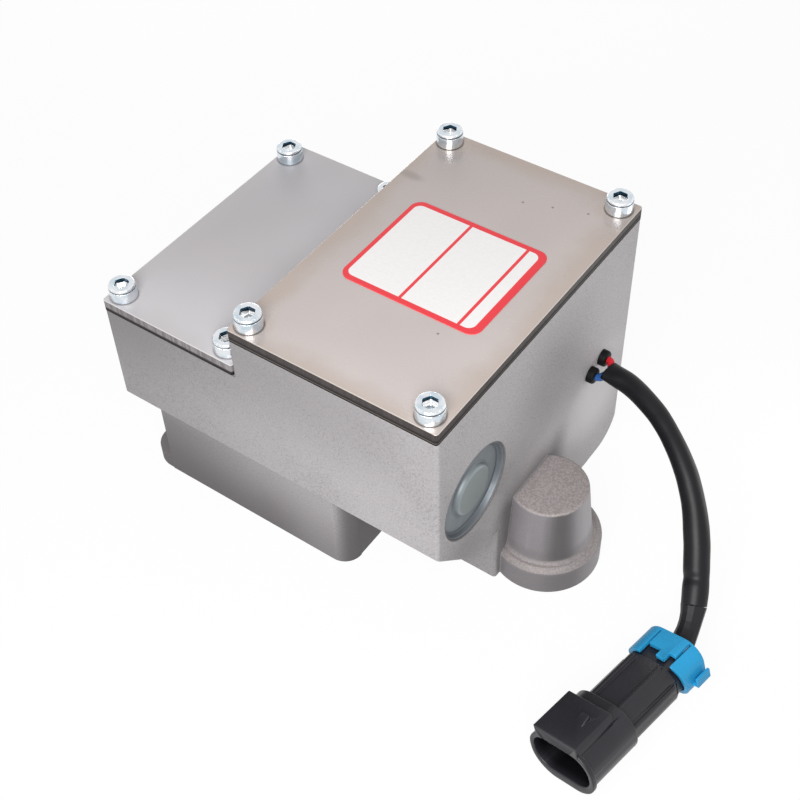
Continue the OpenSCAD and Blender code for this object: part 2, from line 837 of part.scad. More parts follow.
// Two-lobed armature that turns between the pole faces
module armature() {
  lobe = 33;
  reach = armature_r + over;
  color([0.5, 0.51, 0.53]) placed() difference() {
    bar(armature_r, stack_x0, stack_x1, shaft_y, shaft_z);
    bar(shaft_mid_r + fit, stack_x0 - over, stack_x1 + over, shaft_y, shaft_z);
    for (side = [-1, 1]) translate([0, shaft_y, shaft_z])
      difference() {
        across([[side * shaft_mid_r / 4, 0],
                [side * reach * cos(lobe), reach * sin(lobe)],
                [side * 2 * reach, reach],
                [side * 2 * reach, -reach],
                [side * reach * cos(lobe), -reach * sin(lobe)]],
               stack_x0 - over, stack_x1 + over);
        bar(shaft_mid_r * 1.25, stack_x0 - 2 * over, stack_x1 + 2 * over, 0, 0);
      }
  }
}

// Deep-groove ball bearing: two races, a row of balls and two shields
module ball_bearing(x0) {
  race_in = shaft_r + (bearing_r - shaft_r) * 0.3;
  race_out = bearing_r - (bearing_r - shaft_r) * 0.27;
  mid = (race_in + race_out) / 2;
  ball_r = (race_out - race_in) / 2 + bearing_w / 20;
  balls = 9;
  shield = bearing_w / 20;
  translate([x0, shaft_y, shaft_z]) rotate([0, 90, 0]) {
    rotate_extrude() difference() {
      translate([shaft_r + fit, 0]) square([race_in - shaft_r - fit, bearing_w]);
      translate([mid, bearing_w / 2]) circle(ball_r + fit);
    }
    rotate_extrude() difference() {
      translate([race_out, 0]) square([bearing_r - fit - race_out, bearing_w]);
      translate([mid, bearing_w / 2]) circle(ball_r + fit);
    }
    for (i = [0 : balls - 1]) rotate(360 * i / balls)
      translate([mid, 0, bearing_w / 2]) sphere(r = ball_r, $fn = 24);
    for (z = [shield, bearing_w - 2 * shield]) translate([0, 0, z]) difference() {
      cylinder(h = shield, r = race_out - fit);
      translate([0, 0, -over]) cylinder(h = shield + 2 * over, r = race_in + gap);
    }
  }
}

module bearing_left() {
  color([0.78, 0.79, 0.8]) placed() ball_bearing(left_seat_x);
}

module bearing_right() {
  color([0.78, 0.79, 0.8]) placed() ball_bearing(right_seat_x);
}

module bearing_circlip() {
  r = bearing_r + ring_groove_d - fit;
  color([0.25, 0.25, 0.26]) placed()
    translate([main_x1 + fit, shaft_y, shaft_z]) rotate([0, 90, 0]) difference() {
      cylinder(h = ring_groove_w - 2 * fit, r = r);
      translate([0, 0, -over]) cylinder(h = ring_groove_w + 2 * over, r = lip_r + over);
      translate([0, -ring_groove_w, -over])
        cube([2 * r, 2 * ring_groove_w, ring_groove_w + 2 * over]);
    }
}

// Lever with a split hub, clamped on the shaft
module output_lever() {
  color([0.55, 0.56, 0.58]) placed() difference() {
    union() {
      bar(hub_r, lever_x0, lever_x0 + hub_w, shaft_y, shaft_z);
      bar(arm_h / 2, arm_x0, arm_x1, pin_y, shaft_z);
      block([arm_x0, shaft_y, shaft_z - arm_h / 2], [arm_x1, pin_y, shaft_z + arm_h / 2]);
      block([lever_x0 + over, shaft_y - lug_half, shaft_z],
            [lever_x0 + hub_w - over, shaft_y + lug_half, shaft_z + lug_top]);
    }
    bar(shaft_r + fit, lever_x0 - over, lever_x0 + hub_w + over, shaft_y, shaft_z);
    bar(pin_r + fit, arm_x0 - over, arm_x1 + over, pin_y, shaft_z);
    block([lever_x0 - over, shaft_y - slit_w / 2, shaft_z + shaft_r / 2],
          [lever_x0 + hub_w + over, shaft_y + slit_w / 2, shaft_z + lug_top + over]);
    translate([lever_x0 + hub_w / 2, shaft_y - lug_half - over, clamp_z]) rotate([-90, 0, 0])
      cylinder(h = 2 * lug_half + 2 * over, r = clamp_r + fit);
  }
}

module lever_clamp_screw() {
  color([0.3, 0.3, 0.32]) placed()
    translate([lever_x0 + hub_w / 2, shaft_y, clamp_z]) rotate([-90, 0, 0]) {
      translate([0, 0, -lug_half]) cylinder(h = 2 * lug_half + over, r = clamp_r);
      translate([0, 0, lug_half]) difference() {
        cylinder(h = clamp_head_h, r = clamp_head_r);
        translate([0, 0, clamp_head_h / 2]) cylinder(h = clamp_head_h, r = clamp_r * 0.85, $fn = 6);
      }
    }
}

module lever_pin() {
  color([0.8, 0.8, 0.82]) placed() difference() {
    union() {
      bar(pin_head_r, arm_x0 - pin_head_t, arm_x0, pin_y, shaft_z);
      bar(pin_r, arm_x0 - over, pin_end_x, pin_y, shaft_z);
    }
    difference() {
      bar(2 * pin_r, clip_ring_x, clip_ring_x + clip_ring_t, pin_y, shaft_z);
      bar(clip_groove_r, clip_ring_x - over, clip_ring_x + clip_ring_t + over, pin_y, shaft_z);
    }
  }
}

module lever_pin_clip() {
  color([0.2, 0.2, 0.21]) placed()
    translate([clip_ring_x + fit, pin_y, shaft_z]) rotate([0, 90, 0]) difference() {
      cylinder(h = clip_ring_t - 2 * fit, r = clip_ring_r);
      translate([0, 0, -over]) cylinder(h = clip_ring_t + 2 * over, r = clip_groove_r + fit);
      translate([-2 * clip_ring_r, -clip_groove_r * 0.8, -over])
        cube([2 * clip_ring_r, 1.6 * clip_groove_r, clip_ring_t + 2 * over]);
    }
}

// Flat link that hangs from the lever's pin to the fuel rack
module rack_link() {
  color([0.62, 0.6, 0.52]) placed() difference() {
    union() {
      bar(link_eye_r, link_x0, link_x1, pin_y, shaft_z);
      bar(link_foot_r, link_x0, link_x1, pin_y, low_eye_z);
      block([link_x0 + (link_t - link_bar_t) / 2, pin_y - link_bar / 2, low_eye_z],
            [link_x1 - (link_t - link_bar_t) / 2, pin_y + link_bar / 2, shaft_z]);
    }
    bar(pin_r + running, link_x0 - over, link_x1 + over, pin_y, shaft_z);
    bar(link_bore_r, link_x0 - over, link_x1 + over, pin_y, low_eye_z);
  }
}

// Torsion spring: its free leg lies over the lever's arm, its fixed leg under the post
module return_spring() {
  steps = 16;
  reach = [free_y - shaft_y, free_z - shaft_z];
  start = atan2(reach[1], reach[0]) + acos(coil_r / norm(reach));
  turn = 360 * coil_turns + start + 90;
  count = round(turn / 360 * steps);
  wound = [
    for (i = [0 : count]) let (a = start - turn * i / count)
      [coil_x0 + wire_r + (coil_x1 - coil_x0 - 2 * wire_r) * i / count,
       shaft_y + coil_r * cos(a), shaft_z + coil_r * sin(a)]
  ];
  bend = 2 * wire_r;
  free_leg = [
    [free_x, free_y, free_z], [coil_x0 + wire_r - bend, free_y, free_z],
    [coil_x0 + wire_r - bend / 4, free_y - bend / 4, free_z + bend / 16],
    [coil_x0 + wire_r, free_y - bend, free_z + bend / 4]
  ];
  fixed_leg = [[coil_x1 - wire_r, post_y + 2 * post_r, shaft_z - coil_r]];
  path = concat(free_leg, wound, fixed_leg);
  color([0.35, 0.36, 0.38]) placed()
    swept(path, [for (p = path) [wire_r, wire_r]], [0, 0, 1], 8);
}

module spring_post() {
  color([0.7, 0.7, 0.72]) placed()
    bar(post_r, post_x0, partition_x + post_in, post_y, post_z);
}

module stop_screw() {
  color([0.78, 0.76, 0.7]) placed() translate([rib_x, stop_y, stop_low_z]) difference() {
    cylinder(h = stop_top_z - stop_low_z, r = stop_r);
    translate([0, 0, -over]) cylinder(h = stop_r + over, r = stop_r / 2, $fn = 6);
  }
}

module stop_nut() {
  color([0.78, 0.76, 0.7]) placed() translate([rib_x, stop_y, rib_z1]) difference() {
    cylinder(h = nut_h, r = nut_r, $fn = 6);
    translate([0, 0, -over]) cylinder(h = nut_h + 2 * over, r = stop_r + fit);
  }
}

// A lead from the winding through its grommet to the sleeve's mouth
module lead(at, tail) {
  inner = [stack_x1 + gap + former_rim - origin_x, at[0] - origin_y, at[1]];
  outer = [body_w + grommet_out + gap - origin_x, at[0] - origin_y, at[1]];
  path = concat([inner, outer], [for (t = tail) t + moved]);
  swept(path, [for (p = path) [lead_r, lead_r]], [0, 0, 1], 8);
}

module lead_red() {
  color([0.8, 0.15, 0.18]) lead(lead_red_at, lead_red_tail);
}

module lead_blue() {
  color([0.12, 0.3, 0.6]) lead(lead_blue_at, lead_blue_tail);
}

module wire_sleeve() {
  last = len(sleeve_rings) - 1;
  color([0.07, 0.07, 0.08]) translate(moved)
    swept(sleeve_rings,
          [for (i = [0 : last])
             i == 0 ? [mouth_half_w, mouth_half_h]
             : i == last ? [sleeve_end_r, sleeve_end_r] : [sleeve_r, sleeve_r]],
          [0, 1, 0], 10);
}

module plug_placed() {
  translate(connector_at + moved) rotate([0, connector_roll, connector_yaw]) children();
}

// Rubber boot from the sleeve's end into the connector's rear
module connector_boot() {
  cy = cos(connector_yaw);
  sy = sin(connector_yaw);
  cr = cos(connector_roll);
  sr = sin(connector_roll);
  rear = shell_len + rear_wall / 2;
  mid = (shell_low + shell_h) / 2;
  axis = [-sy, cy, 0];
  side = [cy * cr, sy * cr, -sr];
  up = [cy * sr, sy * sr, cr];
  base = connector_at + rear * axis + mid * up;
  end = sleeve_route[len(sleeve_route) - 1];
  dir = unit(sleeve_route[len(sleeve_route) - 1] - sleeve_route[len(sleeve_route) - 3]);
  span = norm(end - base);
  path = [
    for (i = [0 : 8]) let (u = i / 8)
      pow(1 - u, 3) * base + 3 * u * pow(1 - u, 2) * (base + span / 5 * axis)
      + 3 * u * u * (1 - u) * (end + span / 2.2 * dir) + pow(u, 3) * end
  ];
  color([0.07, 0.07, 0.08]) translate(moved) swept(path,
    [for (i = [0 : 8]) let (u = pow(1 - i / 8, 2), top = (boot_top_r - boot_neck_r) * pow(i / 8, 4))
      [boot_neck_r + (boot_w - boot_neck_r) * u + top, boot_neck_r + (boot_h - boot_neck_r) * u + top]],
    side, 12);
}

module connector_shell() {
  color([0.09, 0.09, 0.1]) plug_placed() difference() {
    union() {
      along_plug(-shroud_half_w, shroud_half_w, 0, shroud_h, 0, lip_len, shroud_corner_r);
      along_plug(-shroud_half_w + lip_step, shroud_half_w - lip_step, lip_step, shroud_h - lip_step,
                 lip_len - over, shroud_len, shroud_corner_r - lip_step);
      block([-crown_half_w, 0, shroud_h - crown_deep], [crown_half_w, crown_len, crown_h]);
      across([[ramp_y, crown_h - over], [ramp_y, crown_h], [ramp_y + ramp_len, crown_h + ramp_h],
              [ramp_y + ramp_len, crown_h - over]], ramp_x, ramp_x + ramp_w);
      along_plug(-shell_half_w, shell_half_w, shell_low, shell_h, shroud_len - over,
                 clip_y - gap, shell_corner_r);
      along_plug(-necked_half_w, necked_half_w, clip_low + clip_t + gap,
                 clip_h - clip_t - gap, clip_y - over, shell_len, clip_r - clip_t);
      for (x = [-rail_x, rail_x])
        block([x - rail_w / 2, shroud_len - over, shell_h - over],
              [x + rail_w / 2, clip_y - 2 * over, shell_h + rail_h]);
      for (side = [-1, 1])
        block([side * shell_half_w - rail_w / 2, shroud_len - over, blade_z - rail_w],
              [side * shell_half_w + rail_w / 2, clip_y - 2 * over, blade_z + rail_w]);
    }
    along_plug(-cavity_half_w, cavity_half_w, cavity_low, cavity_h, -over, cavity_len, cavity_r);
    along_plug(-necked_half_w + rear_wall, necked_half_w - rear_wall, shell_low + rear_wall + gap,
               shell_h - rear_wall - gap, shell_len - rear_cavity, shell_len + over,
               clip_r - clip_t - rear_wall);
    for (x = [-pin_half, pin_half])
      block([x - blade_w / 2 - fit, cavity_len - over, blade_z - blade_t / 2 - fit],
            [x + blade_w / 2 + fit, shell_len - rear_cavity + over, blade_z + blade_t / 2 + fit]);
  }
}

module connector_seal() {
  color([0.2, 0.2, 0.22]) plug_placed()
    along_plug(-necked_half_w + rear_wall + fit, necked_half_w - rear_wall - fit,
               shell_low + rear_wall + gap + fit, shell_h - rear_wall - gap - fit,
               shell_len - rear_cavity, shell_len + rear_wall / 2,
               clip_r - clip_t - rear_wall - fit);
}

module terminal(x) {
  color([0.72, 0.7, 0.66]) plug_placed()
    block([x - blade_w / 2, cavity_len - blade_len, blade_z - blade_t / 2],
          [x + blade_w / 2, shell_len - rear_cavity, blade_z + blade_t / 2]);
}

module terminal_left() {
  terminal(-pin_half);
}

module terminal_right() {
  terminal(pin_half);
}

// Blue lock that is pushed over the shell from behind
module connector_clip() {
  y1 = clip_y + clip_len;
  color([0.12, 0.58, 0.82]) plug_placed() {
    difference() {
      along_plug(-clip_half_w, clip_half_w, clip_low, clip_h, clip_y, y1, clip_r);
      along_plug(-clip_half_w + clip_t, clip_half_w - clip_t, clip_low + clip_t, clip_h - clip_t,
                 clip_y - over, y1 + over, clip_r - clip_t);
      across([[clip_y - over, clip_low - over], [clip_y + clip_lean, clip_low - over],
              [clip_y, clip_h], [clip_y - over, clip_h]], -2 * clip_half_w, 2 * clip_half_w);
      for (x = [slot_left, slot_right])
        block([x - slot_w / 2, clip_y - over, clip_h - 2 * clip_t],
              [x + slot_w / 2, y1 - slot_end, clip_h + over]);
      for (ends = [[slot_left, tongue_x, 0], [slot_right, tongue_x + tongue_w, 0],
                   [slot_left, slot_right, tongue_len]])
        block([min(ends[0], ends[1]), clip_y - over, clip_h - 2 * clip_t],
              [max(ends[0], ends[1]), clip_y + notch_len - ends[2], clip_h + over]);
    }
    translate([clip_half_w, y1 - gap, tab_low]) rotate([90, 0, 0]) linear_extrude(tab_len)
      polygon([[-over, 0], [tab_out, 0], [tab_out, tab_h], [tab_out - tab_t, tab_h],
               [tab_out - tab_t, tab_t], [-over, tab_t]]);
  }
}

housing();
main_cover();
main_cover_gasket();
lever_cover();
lever_cover_gasket();
main_cover_screws();
lever_cover_screws();
core_plug();
rating_plate();
lead_grommets();
stator_core();
stator_screws();
coil_bobbin();
coil_winding();
actuator_shaft();
armature();
bearing_left();
bearing_right();
bearing_circlip();
output_lever();
lever_clamp_screw();
lever_pin();
lever_pin_clip();
rack_link();
return_spring();
spring_post();
stop_screw();
stop_nut();
lead_red();
lead_blue();
wire_sleeve();
connector_boot();
connector_shell();
connector_clip();
connector_seal();
terminal_left();
terminal_right();
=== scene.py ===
import bpy
import bmesh
import json
import math
import numpy as np
from mathutils import Matrix, Vector


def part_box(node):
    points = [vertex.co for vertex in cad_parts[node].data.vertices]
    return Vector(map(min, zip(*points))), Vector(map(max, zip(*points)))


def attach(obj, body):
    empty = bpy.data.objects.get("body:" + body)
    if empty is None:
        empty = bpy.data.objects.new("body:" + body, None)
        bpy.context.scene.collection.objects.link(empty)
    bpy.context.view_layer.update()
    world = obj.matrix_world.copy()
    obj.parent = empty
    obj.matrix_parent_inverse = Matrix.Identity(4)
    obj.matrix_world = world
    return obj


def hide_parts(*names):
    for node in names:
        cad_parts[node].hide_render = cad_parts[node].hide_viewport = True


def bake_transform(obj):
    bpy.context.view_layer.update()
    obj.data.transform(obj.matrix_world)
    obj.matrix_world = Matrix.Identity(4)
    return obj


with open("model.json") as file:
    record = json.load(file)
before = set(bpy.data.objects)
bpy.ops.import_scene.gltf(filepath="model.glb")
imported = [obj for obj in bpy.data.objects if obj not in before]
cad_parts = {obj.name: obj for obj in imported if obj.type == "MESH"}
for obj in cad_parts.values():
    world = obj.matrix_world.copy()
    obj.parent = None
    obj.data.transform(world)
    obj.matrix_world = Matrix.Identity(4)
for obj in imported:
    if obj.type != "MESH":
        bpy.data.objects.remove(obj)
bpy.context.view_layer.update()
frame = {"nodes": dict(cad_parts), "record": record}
nodes = frame["nodes"]
bodies = frame["record"]["behaviour"]["bodies"]
bodyOf = {n: b for b, members in bodies.items() for n in members}
slotOf = {s["node"]: s["material_slot"] for s in frame["record"]["subparts"]}
scene = bpy.context.scene
millimetre = 0.001


# Camera, as the photograph's perspective was solved from the casting's edges

cameraView = {
    "place": (0.2273, -0.3056, 0.4516),
    "right": (0.81706, 0.57589, -0.02741),
    "down": (0.40715, -0.61001, -0.67979),
    "ahead": (-0.40820, 0.54427, -0.73290),
    "lens": 61.2,
    "sensor": 36.0,
    "clip": (0.01, 20.0),
}


def makeCamera(view):
    data = bpy.data.cameras.new("camera")
    data.lens, data.sensor_width = view["lens"], view["sensor"]
    data.clip_start, data.clip_end = view["clip"]
    up, back = [-v for v in view["down"]], [-v for v in view["ahead"]]
    turn = Matrix([view["right"], up, back]).transposed()
    camera = bpy.data.objects.new("camera", data)
    camera.matrix_world = Matrix.Translation(view["place"]) @ turn.to_4x4()
    scene.collection.objects.link(camera)
    scene.camera = camera


makeCamera(cameraView)


# Meshes from numpy arrays

def newPiece(name, points, faces):
    mesh = bpy.data.meshes.new(name)
    mesh.from_pydata(np.asarray(points, float).reshape(-1, 3).tolist(), [], faces)
    mesh.validate()
    mesh.polygons.foreach_set("use_smooth", [True] * len(mesh.polygons))
    piece = bpy.data.objects.new(name, mesh)
    scene.collection.objects.link(piece)
    return piece


def gridFaces(rows, columns):
    # Quads between neighbouring rows of a grid, with the last column joined to the first
    r, c = np.meshgrid(np.arange(rows - 1), np.arange(columns), indexing="ij")
    n = (c + 1) % columns
    return np.stack([r * columns + c, r * columns + n, (r + 1) * columns + n,
                     (r + 1) * columns + c], axis=-1).reshape(-1, 4).tolist()


def tubePiece(name, grid):
    # A closed skin over a grid of rings, each end shut by a fan round the ring's middle
    rows, columns = grid.shape[:2]
    points = grid.reshape(-1, 3)
    faces = gridFaces(rows, columns)
    for row in (0, rows - 1):
        middle = len(points)
        points = np.vstack([points, grid[row].mean(axis=0)])
        ring = [row * columns + k for k in range(columns)]
        for a, b in zip(ring, ring[1:] + ring[:1]):
            faces.append([a, b, middle] if row else [b, a, middle])
    return newPiece(name, points, faces)


def ringAngles(sides):
    return np.linspace(0, 2 * np.pi, sides, endpoint=False)


def quarterAngles(steps):
    return np.linspace(0, np.pi / 2, steps)


def unit(v):
    return v / np.linalg.norm(v, axis=-1, keepdims=True)


def pathReach(path):
    # How far along the path each of its points is
    return np.concatenate([[0], np.cumsum(np.linalg.norm(np.diff(path, axis=0), axis=1))])


def smoothPath(points, count, stepsPerSpan=24):
    # Catmull-Rom curve through the points, sampled evenly by length
    p = np.asarray(points, float)
    p = np.vstack([2 * p[0] - p[1], p, 2 * p[-1] - p[-2]])
    t = np.linspace(0, 1, stepsPerSpan, endpoint=False)[:, None, None]
    a, b, c, d = p[:-3], p[1:-2], p[2:-1], p[3:]
    curve = 0.5 * (2 * b + (c - a) * t + (2 * a - 5 * b + 4 * c - d) * t ** 2
                   + (3 * b - a - 3 * c + d) * t ** 3)
    curve = np.vstack([curve.transpose(1, 0, 2).reshape(-1, 3), p[-2]])
    reach = pathReach(curve)
    even = np.linspace(0, reach[-1], count)
    return np.stack([np.interp(even, reach, curve[:, k]) for k in range(3)], axis=1)


def carriedFrames(path, start):
    # Tangents, and normals carried along the path with no twist
    tangent = unit(np.gradient(path, axis=0))
    normal = np.zeros_like(path)
    n = np.asarray(start, float)
    for i, t in enumerate(tangent):
        n = unit(n - n.dot(t) * t)
        normal[i] = n
    return tangent, normal, np.cross(tangent, normal)


# Shader maths

class Value:
    # Wraps an output socket so that arithmetic on it adds Math nodes

    def __init__(self, look, socket):
        self.look, self.socket = look, socket

    def maths(self, kind, a, b=None, clamp=False):
        inputs = {0: a} if b is None else {0: a, 1: b}
        return self.look.node("ShaderNodeMath", {"operation": kind, "use_clamp": clamp}, inputs)

    def __add__(self, other): return self.maths("ADD", self, other)
    def __radd__(self, other): return self.maths("ADD", other, self)
    def __sub__(self, other): return self.maths("SUBTRACT", self, other)
    def __rsub__(self, other): return self.maths("SUBTRACT", other, self)
    def __mul__(self, other): return self.maths("MULTIPLY", self, other)
    def __rmul__(self, other): return self.maths("MULTIPLY", other, self)
    def __truediv__(self, other): return self.maths("DIVIDE", self, other)
    def __abs__(self): return self.maths("ABSOLUTE", self)
    def atLeast(self, other): return self.maths("MAXIMUM", self, other)
    def atMost(self, other): return self.maths("MINIMUM", self, other)
    def root(self): return self.maths("SQRT", self)
    def clamped(self): return self.maths("ADD", self, 0.0, True)

    def ramp(self, low, high):
        # 0 below low and 1 above high, with a smooth step between them
        return self.look.node("ShaderNodeMapRange", {"interpolation_type": "SMOOTHSTEP"},
                              {"Value": self, "From Min": low, "From Max": high})

    def fall(self, low, high):
        # 1 below low and 0 above high
        return 1.0 - self.ramp(low, high)


class Look:
    # A material with a Principled shader, and short ways to add its nodes

    def __init__(self, name, **sockets):
        self.material = bpy.data.materials.new(name)
        self.material.use_nodes = True
        self.tree = self.material.node_tree
        self.tree.nodes.clear()
        self.out = self.tree.nodes.new("ShaderNodeOutputMaterial")
        self.shader = self.tree.nodes.new("ShaderNodeBsdfPrincipled")
        self.tree.links.new(self.shader.outputs[0], self.out.inputs[0])
        coordinates = self.tree.nodes.new("ShaderNodeTexCoord")
        self.place = Value(self, coordinates.outputs["Object"])
        self.set(**sockets)

    def put(self, node, key, value):
        socket = node.inputs[key]
        if isinstance(value, Value):
            self.tree.links.new(value.socket, socket)
        else:
            socket.default_value = value

    def set(self, **sockets):
        for socket, value in sockets.items():
            self.put(self.shader, socket.replace("_", " "), value)
        return self

    def node(self, kind, settings=None, inputs=None, output=0):
        made = self.tree.nodes.new(kind)
        for key, value in (settings or {}).items():
            setattr(made, key, value)
        for key, value in (inputs or {}).items():
            self.put(made, key, value)
        return Value(self, made.outputs[output])

    def noise(self, scale, detail, rough, place=None):
        return self.node("ShaderNodeTexNoise", None, {
            "Vector": place or self.place, "Scale": scale, "Detail": detail, "Roughness": rough})

    def stretched(self, x, y, z, turn=(0, 0, 0)):
        return self.node("ShaderNodeMapping", None,
                         {"Vector": self.place, "Scale": (x, y, z), "Rotation": turn})

    def axes(self, vector=None):
        made = self.tree.nodes.new("ShaderNodeSeparateXYZ")
        self.put(made, 0, vector or self.place)
        return [Value(self, made.outputs[k]) for k in range(3)]

    def normal(self):
        return self.axes(self.node("ShaderNodeNewGeometry", None, None, 1))

    def distance(self, point):
        return self.node("ShaderNodeVectorMath", {"operation": "DISTANCE"},
                         {0: self.place, 1: point}, 1)

    def mix(self, factor, a, b, kind="MIX"):
        made = self.tree.nodes.new("ShaderNodeMix")
        made.data_type = "RGBA"
        made.blend_type = kind
        for key, value in ((0, factor), (6, a), (7, b)):
            self.put(made, key, value if isinstance(value, (Value, float, int)) else (*value, 1.0))
        return Value(self, made.outputs[2])

    def over(self, base, factor, colour):
        # The base with a colour laid over it, as much as the factor says
        return self.mix(factor, base, srgb(*colour))

    def between(self, factor, low, high):
        return self.mix(factor, srgb(*low), srgb(*high))

    def bump(self, height, depth):
        self.put(self.shader, "Normal", self.node("ShaderNodeBump", None, {
            "Height": height, "Distance": depth, "Strength": 1.0}))


def srgb(r, g, b):
    # A colour as it is read from a screen, 0 to 255, made linear
    return tuple(((c / 255 + 0.055) / 1.055) ** 2.4 if c > 10 else c / 255 / 12.92
                 for c in (r, g, b))


def shaded(colour, by):
    return tuple(c * by for c in colour)


def inMetres(spans):
    # A dictionary of lengths in millimetres, single or in tuples, with each length in metres
    return {name: (np.array(span) * millimetre).tolist() for name, span in spans.items()}


def length2(a, b):
    return (a * a + b * b).root()


def largest(values):
    most = values[0]
    for value in values[1:]:
        most = most.atLeast(value)
    return most


# Finishes, with colours as a screen shows them and lengths in the span tables in millimetres

plainCloud = (0.3, 0.75)  # where in the cloudy noise one tone starts to become the other

# The foot and cheek colours are painted shade, and the pale one is painted light
castTone = {
    "colour": (193, 190, 191), "dark": (174, 170, 172), "speck": (124, 120, 122),
    "paintedLight": (214, 211, 213), "foot": (106, 102, 103), "cheekShade": (88, 85, 86),
    "ear": (164, 156, 155), "earDark": (142, 135, 134), "earSide": (138, 134, 137),
    "frontShadeLinear": (0.18, 0.17, 0.175), "bandShade": 0.86, "earSideShade": 0.9,
    "grain": 2200.0, "coarse": 1320.0, "specks": 1300.0, "cloud": 26.0,
    "shine": 0.35, "metal": 0.2, "rough": 0.55, "roughSpread": 0.12, "depth": 0.00006,
    "grainSpan": (0.38, 0.62), "cloudSpan": (0.42, 0.75), "coarseSpan": (0.36, 0.64),
    "earSideSpan": (0.35, 0.65), "speckSpan": (0.56, 0.74), "speckCloud": 0.5, "speckBand": 0.03,
    "outerSide": (0.817, 0.576), "valleyAt": 0.2,
}
castShares = {
    "cloud": 0.35, "band": 0.35, "speck": 0.36, "paintedLight": 0.75, "shadeSpot": 0.4,
    "frontLeft": 0.46, "frontUp": 0.28, "frontCorner": 0.12, "footFront": 0.3, "left": 0.35,
    "bore": 0.8, "beside": 0.75, "cheekShade": 0.85, "earGrain": 0.5, "valleyShade": 0.35, "valleyUp": 0.5,
    "valleyCloud": 0.3, "outer": 0.5, "rim": 0.35, "earFootShade": 0.25,
    "bumpGrain": 0.5, "bumpCoarse": 0.3, "bumpEar": 1.4, "paintedLightCore": 0.2, "shadeCore": 0.1,
}
castFacing = {
    "front": (0.3, 0.9), "cheekShade": (0.1, 0.85), "earTop": (0.25, 0.7), "valleyShade": (0.05, 0.5),
    "outer": (0.4, 0.95),
}
castSpans = {
    "bandUp": (70, 115), "bandRight": (30, 60), "frontLeft": (-130, 55), "frontUp": (60, 115),
    "cornerLeft": (-70, -45), "cornerUp": (60, 90), "near": (45, 55), "paintedLightSpot": (64, 48, 42, 34),
    "shadeSpots": [(64, 8, 84, 40), (64, -52, 44, 30), (64, -30, 60, 26)], "shadeSpotCloud": 30,
    "footUp": (-4, 50), "footCloud": 8, "footFront": (-30, 0), "leftAcross": (-84, -30),
    "leftUp": (30, 46), "boreMiddle": (-44.8, 71.5), "boreRadius": 19.5, "boreLine": (0.3, 0.7),
    "earMiddle": -4.5, "beside": (17, 31), "besideUp": (36, 56), "cheekUp": (45, 55),
    "earFrom": (64.3, 65.1), "earTop": (41.5, 42.5), "flangeTop": (14.5, 15.5), "rimFrom": 9.5,
    "rim": (0, 4), "earFootShade": (17.5, 21.5),
}


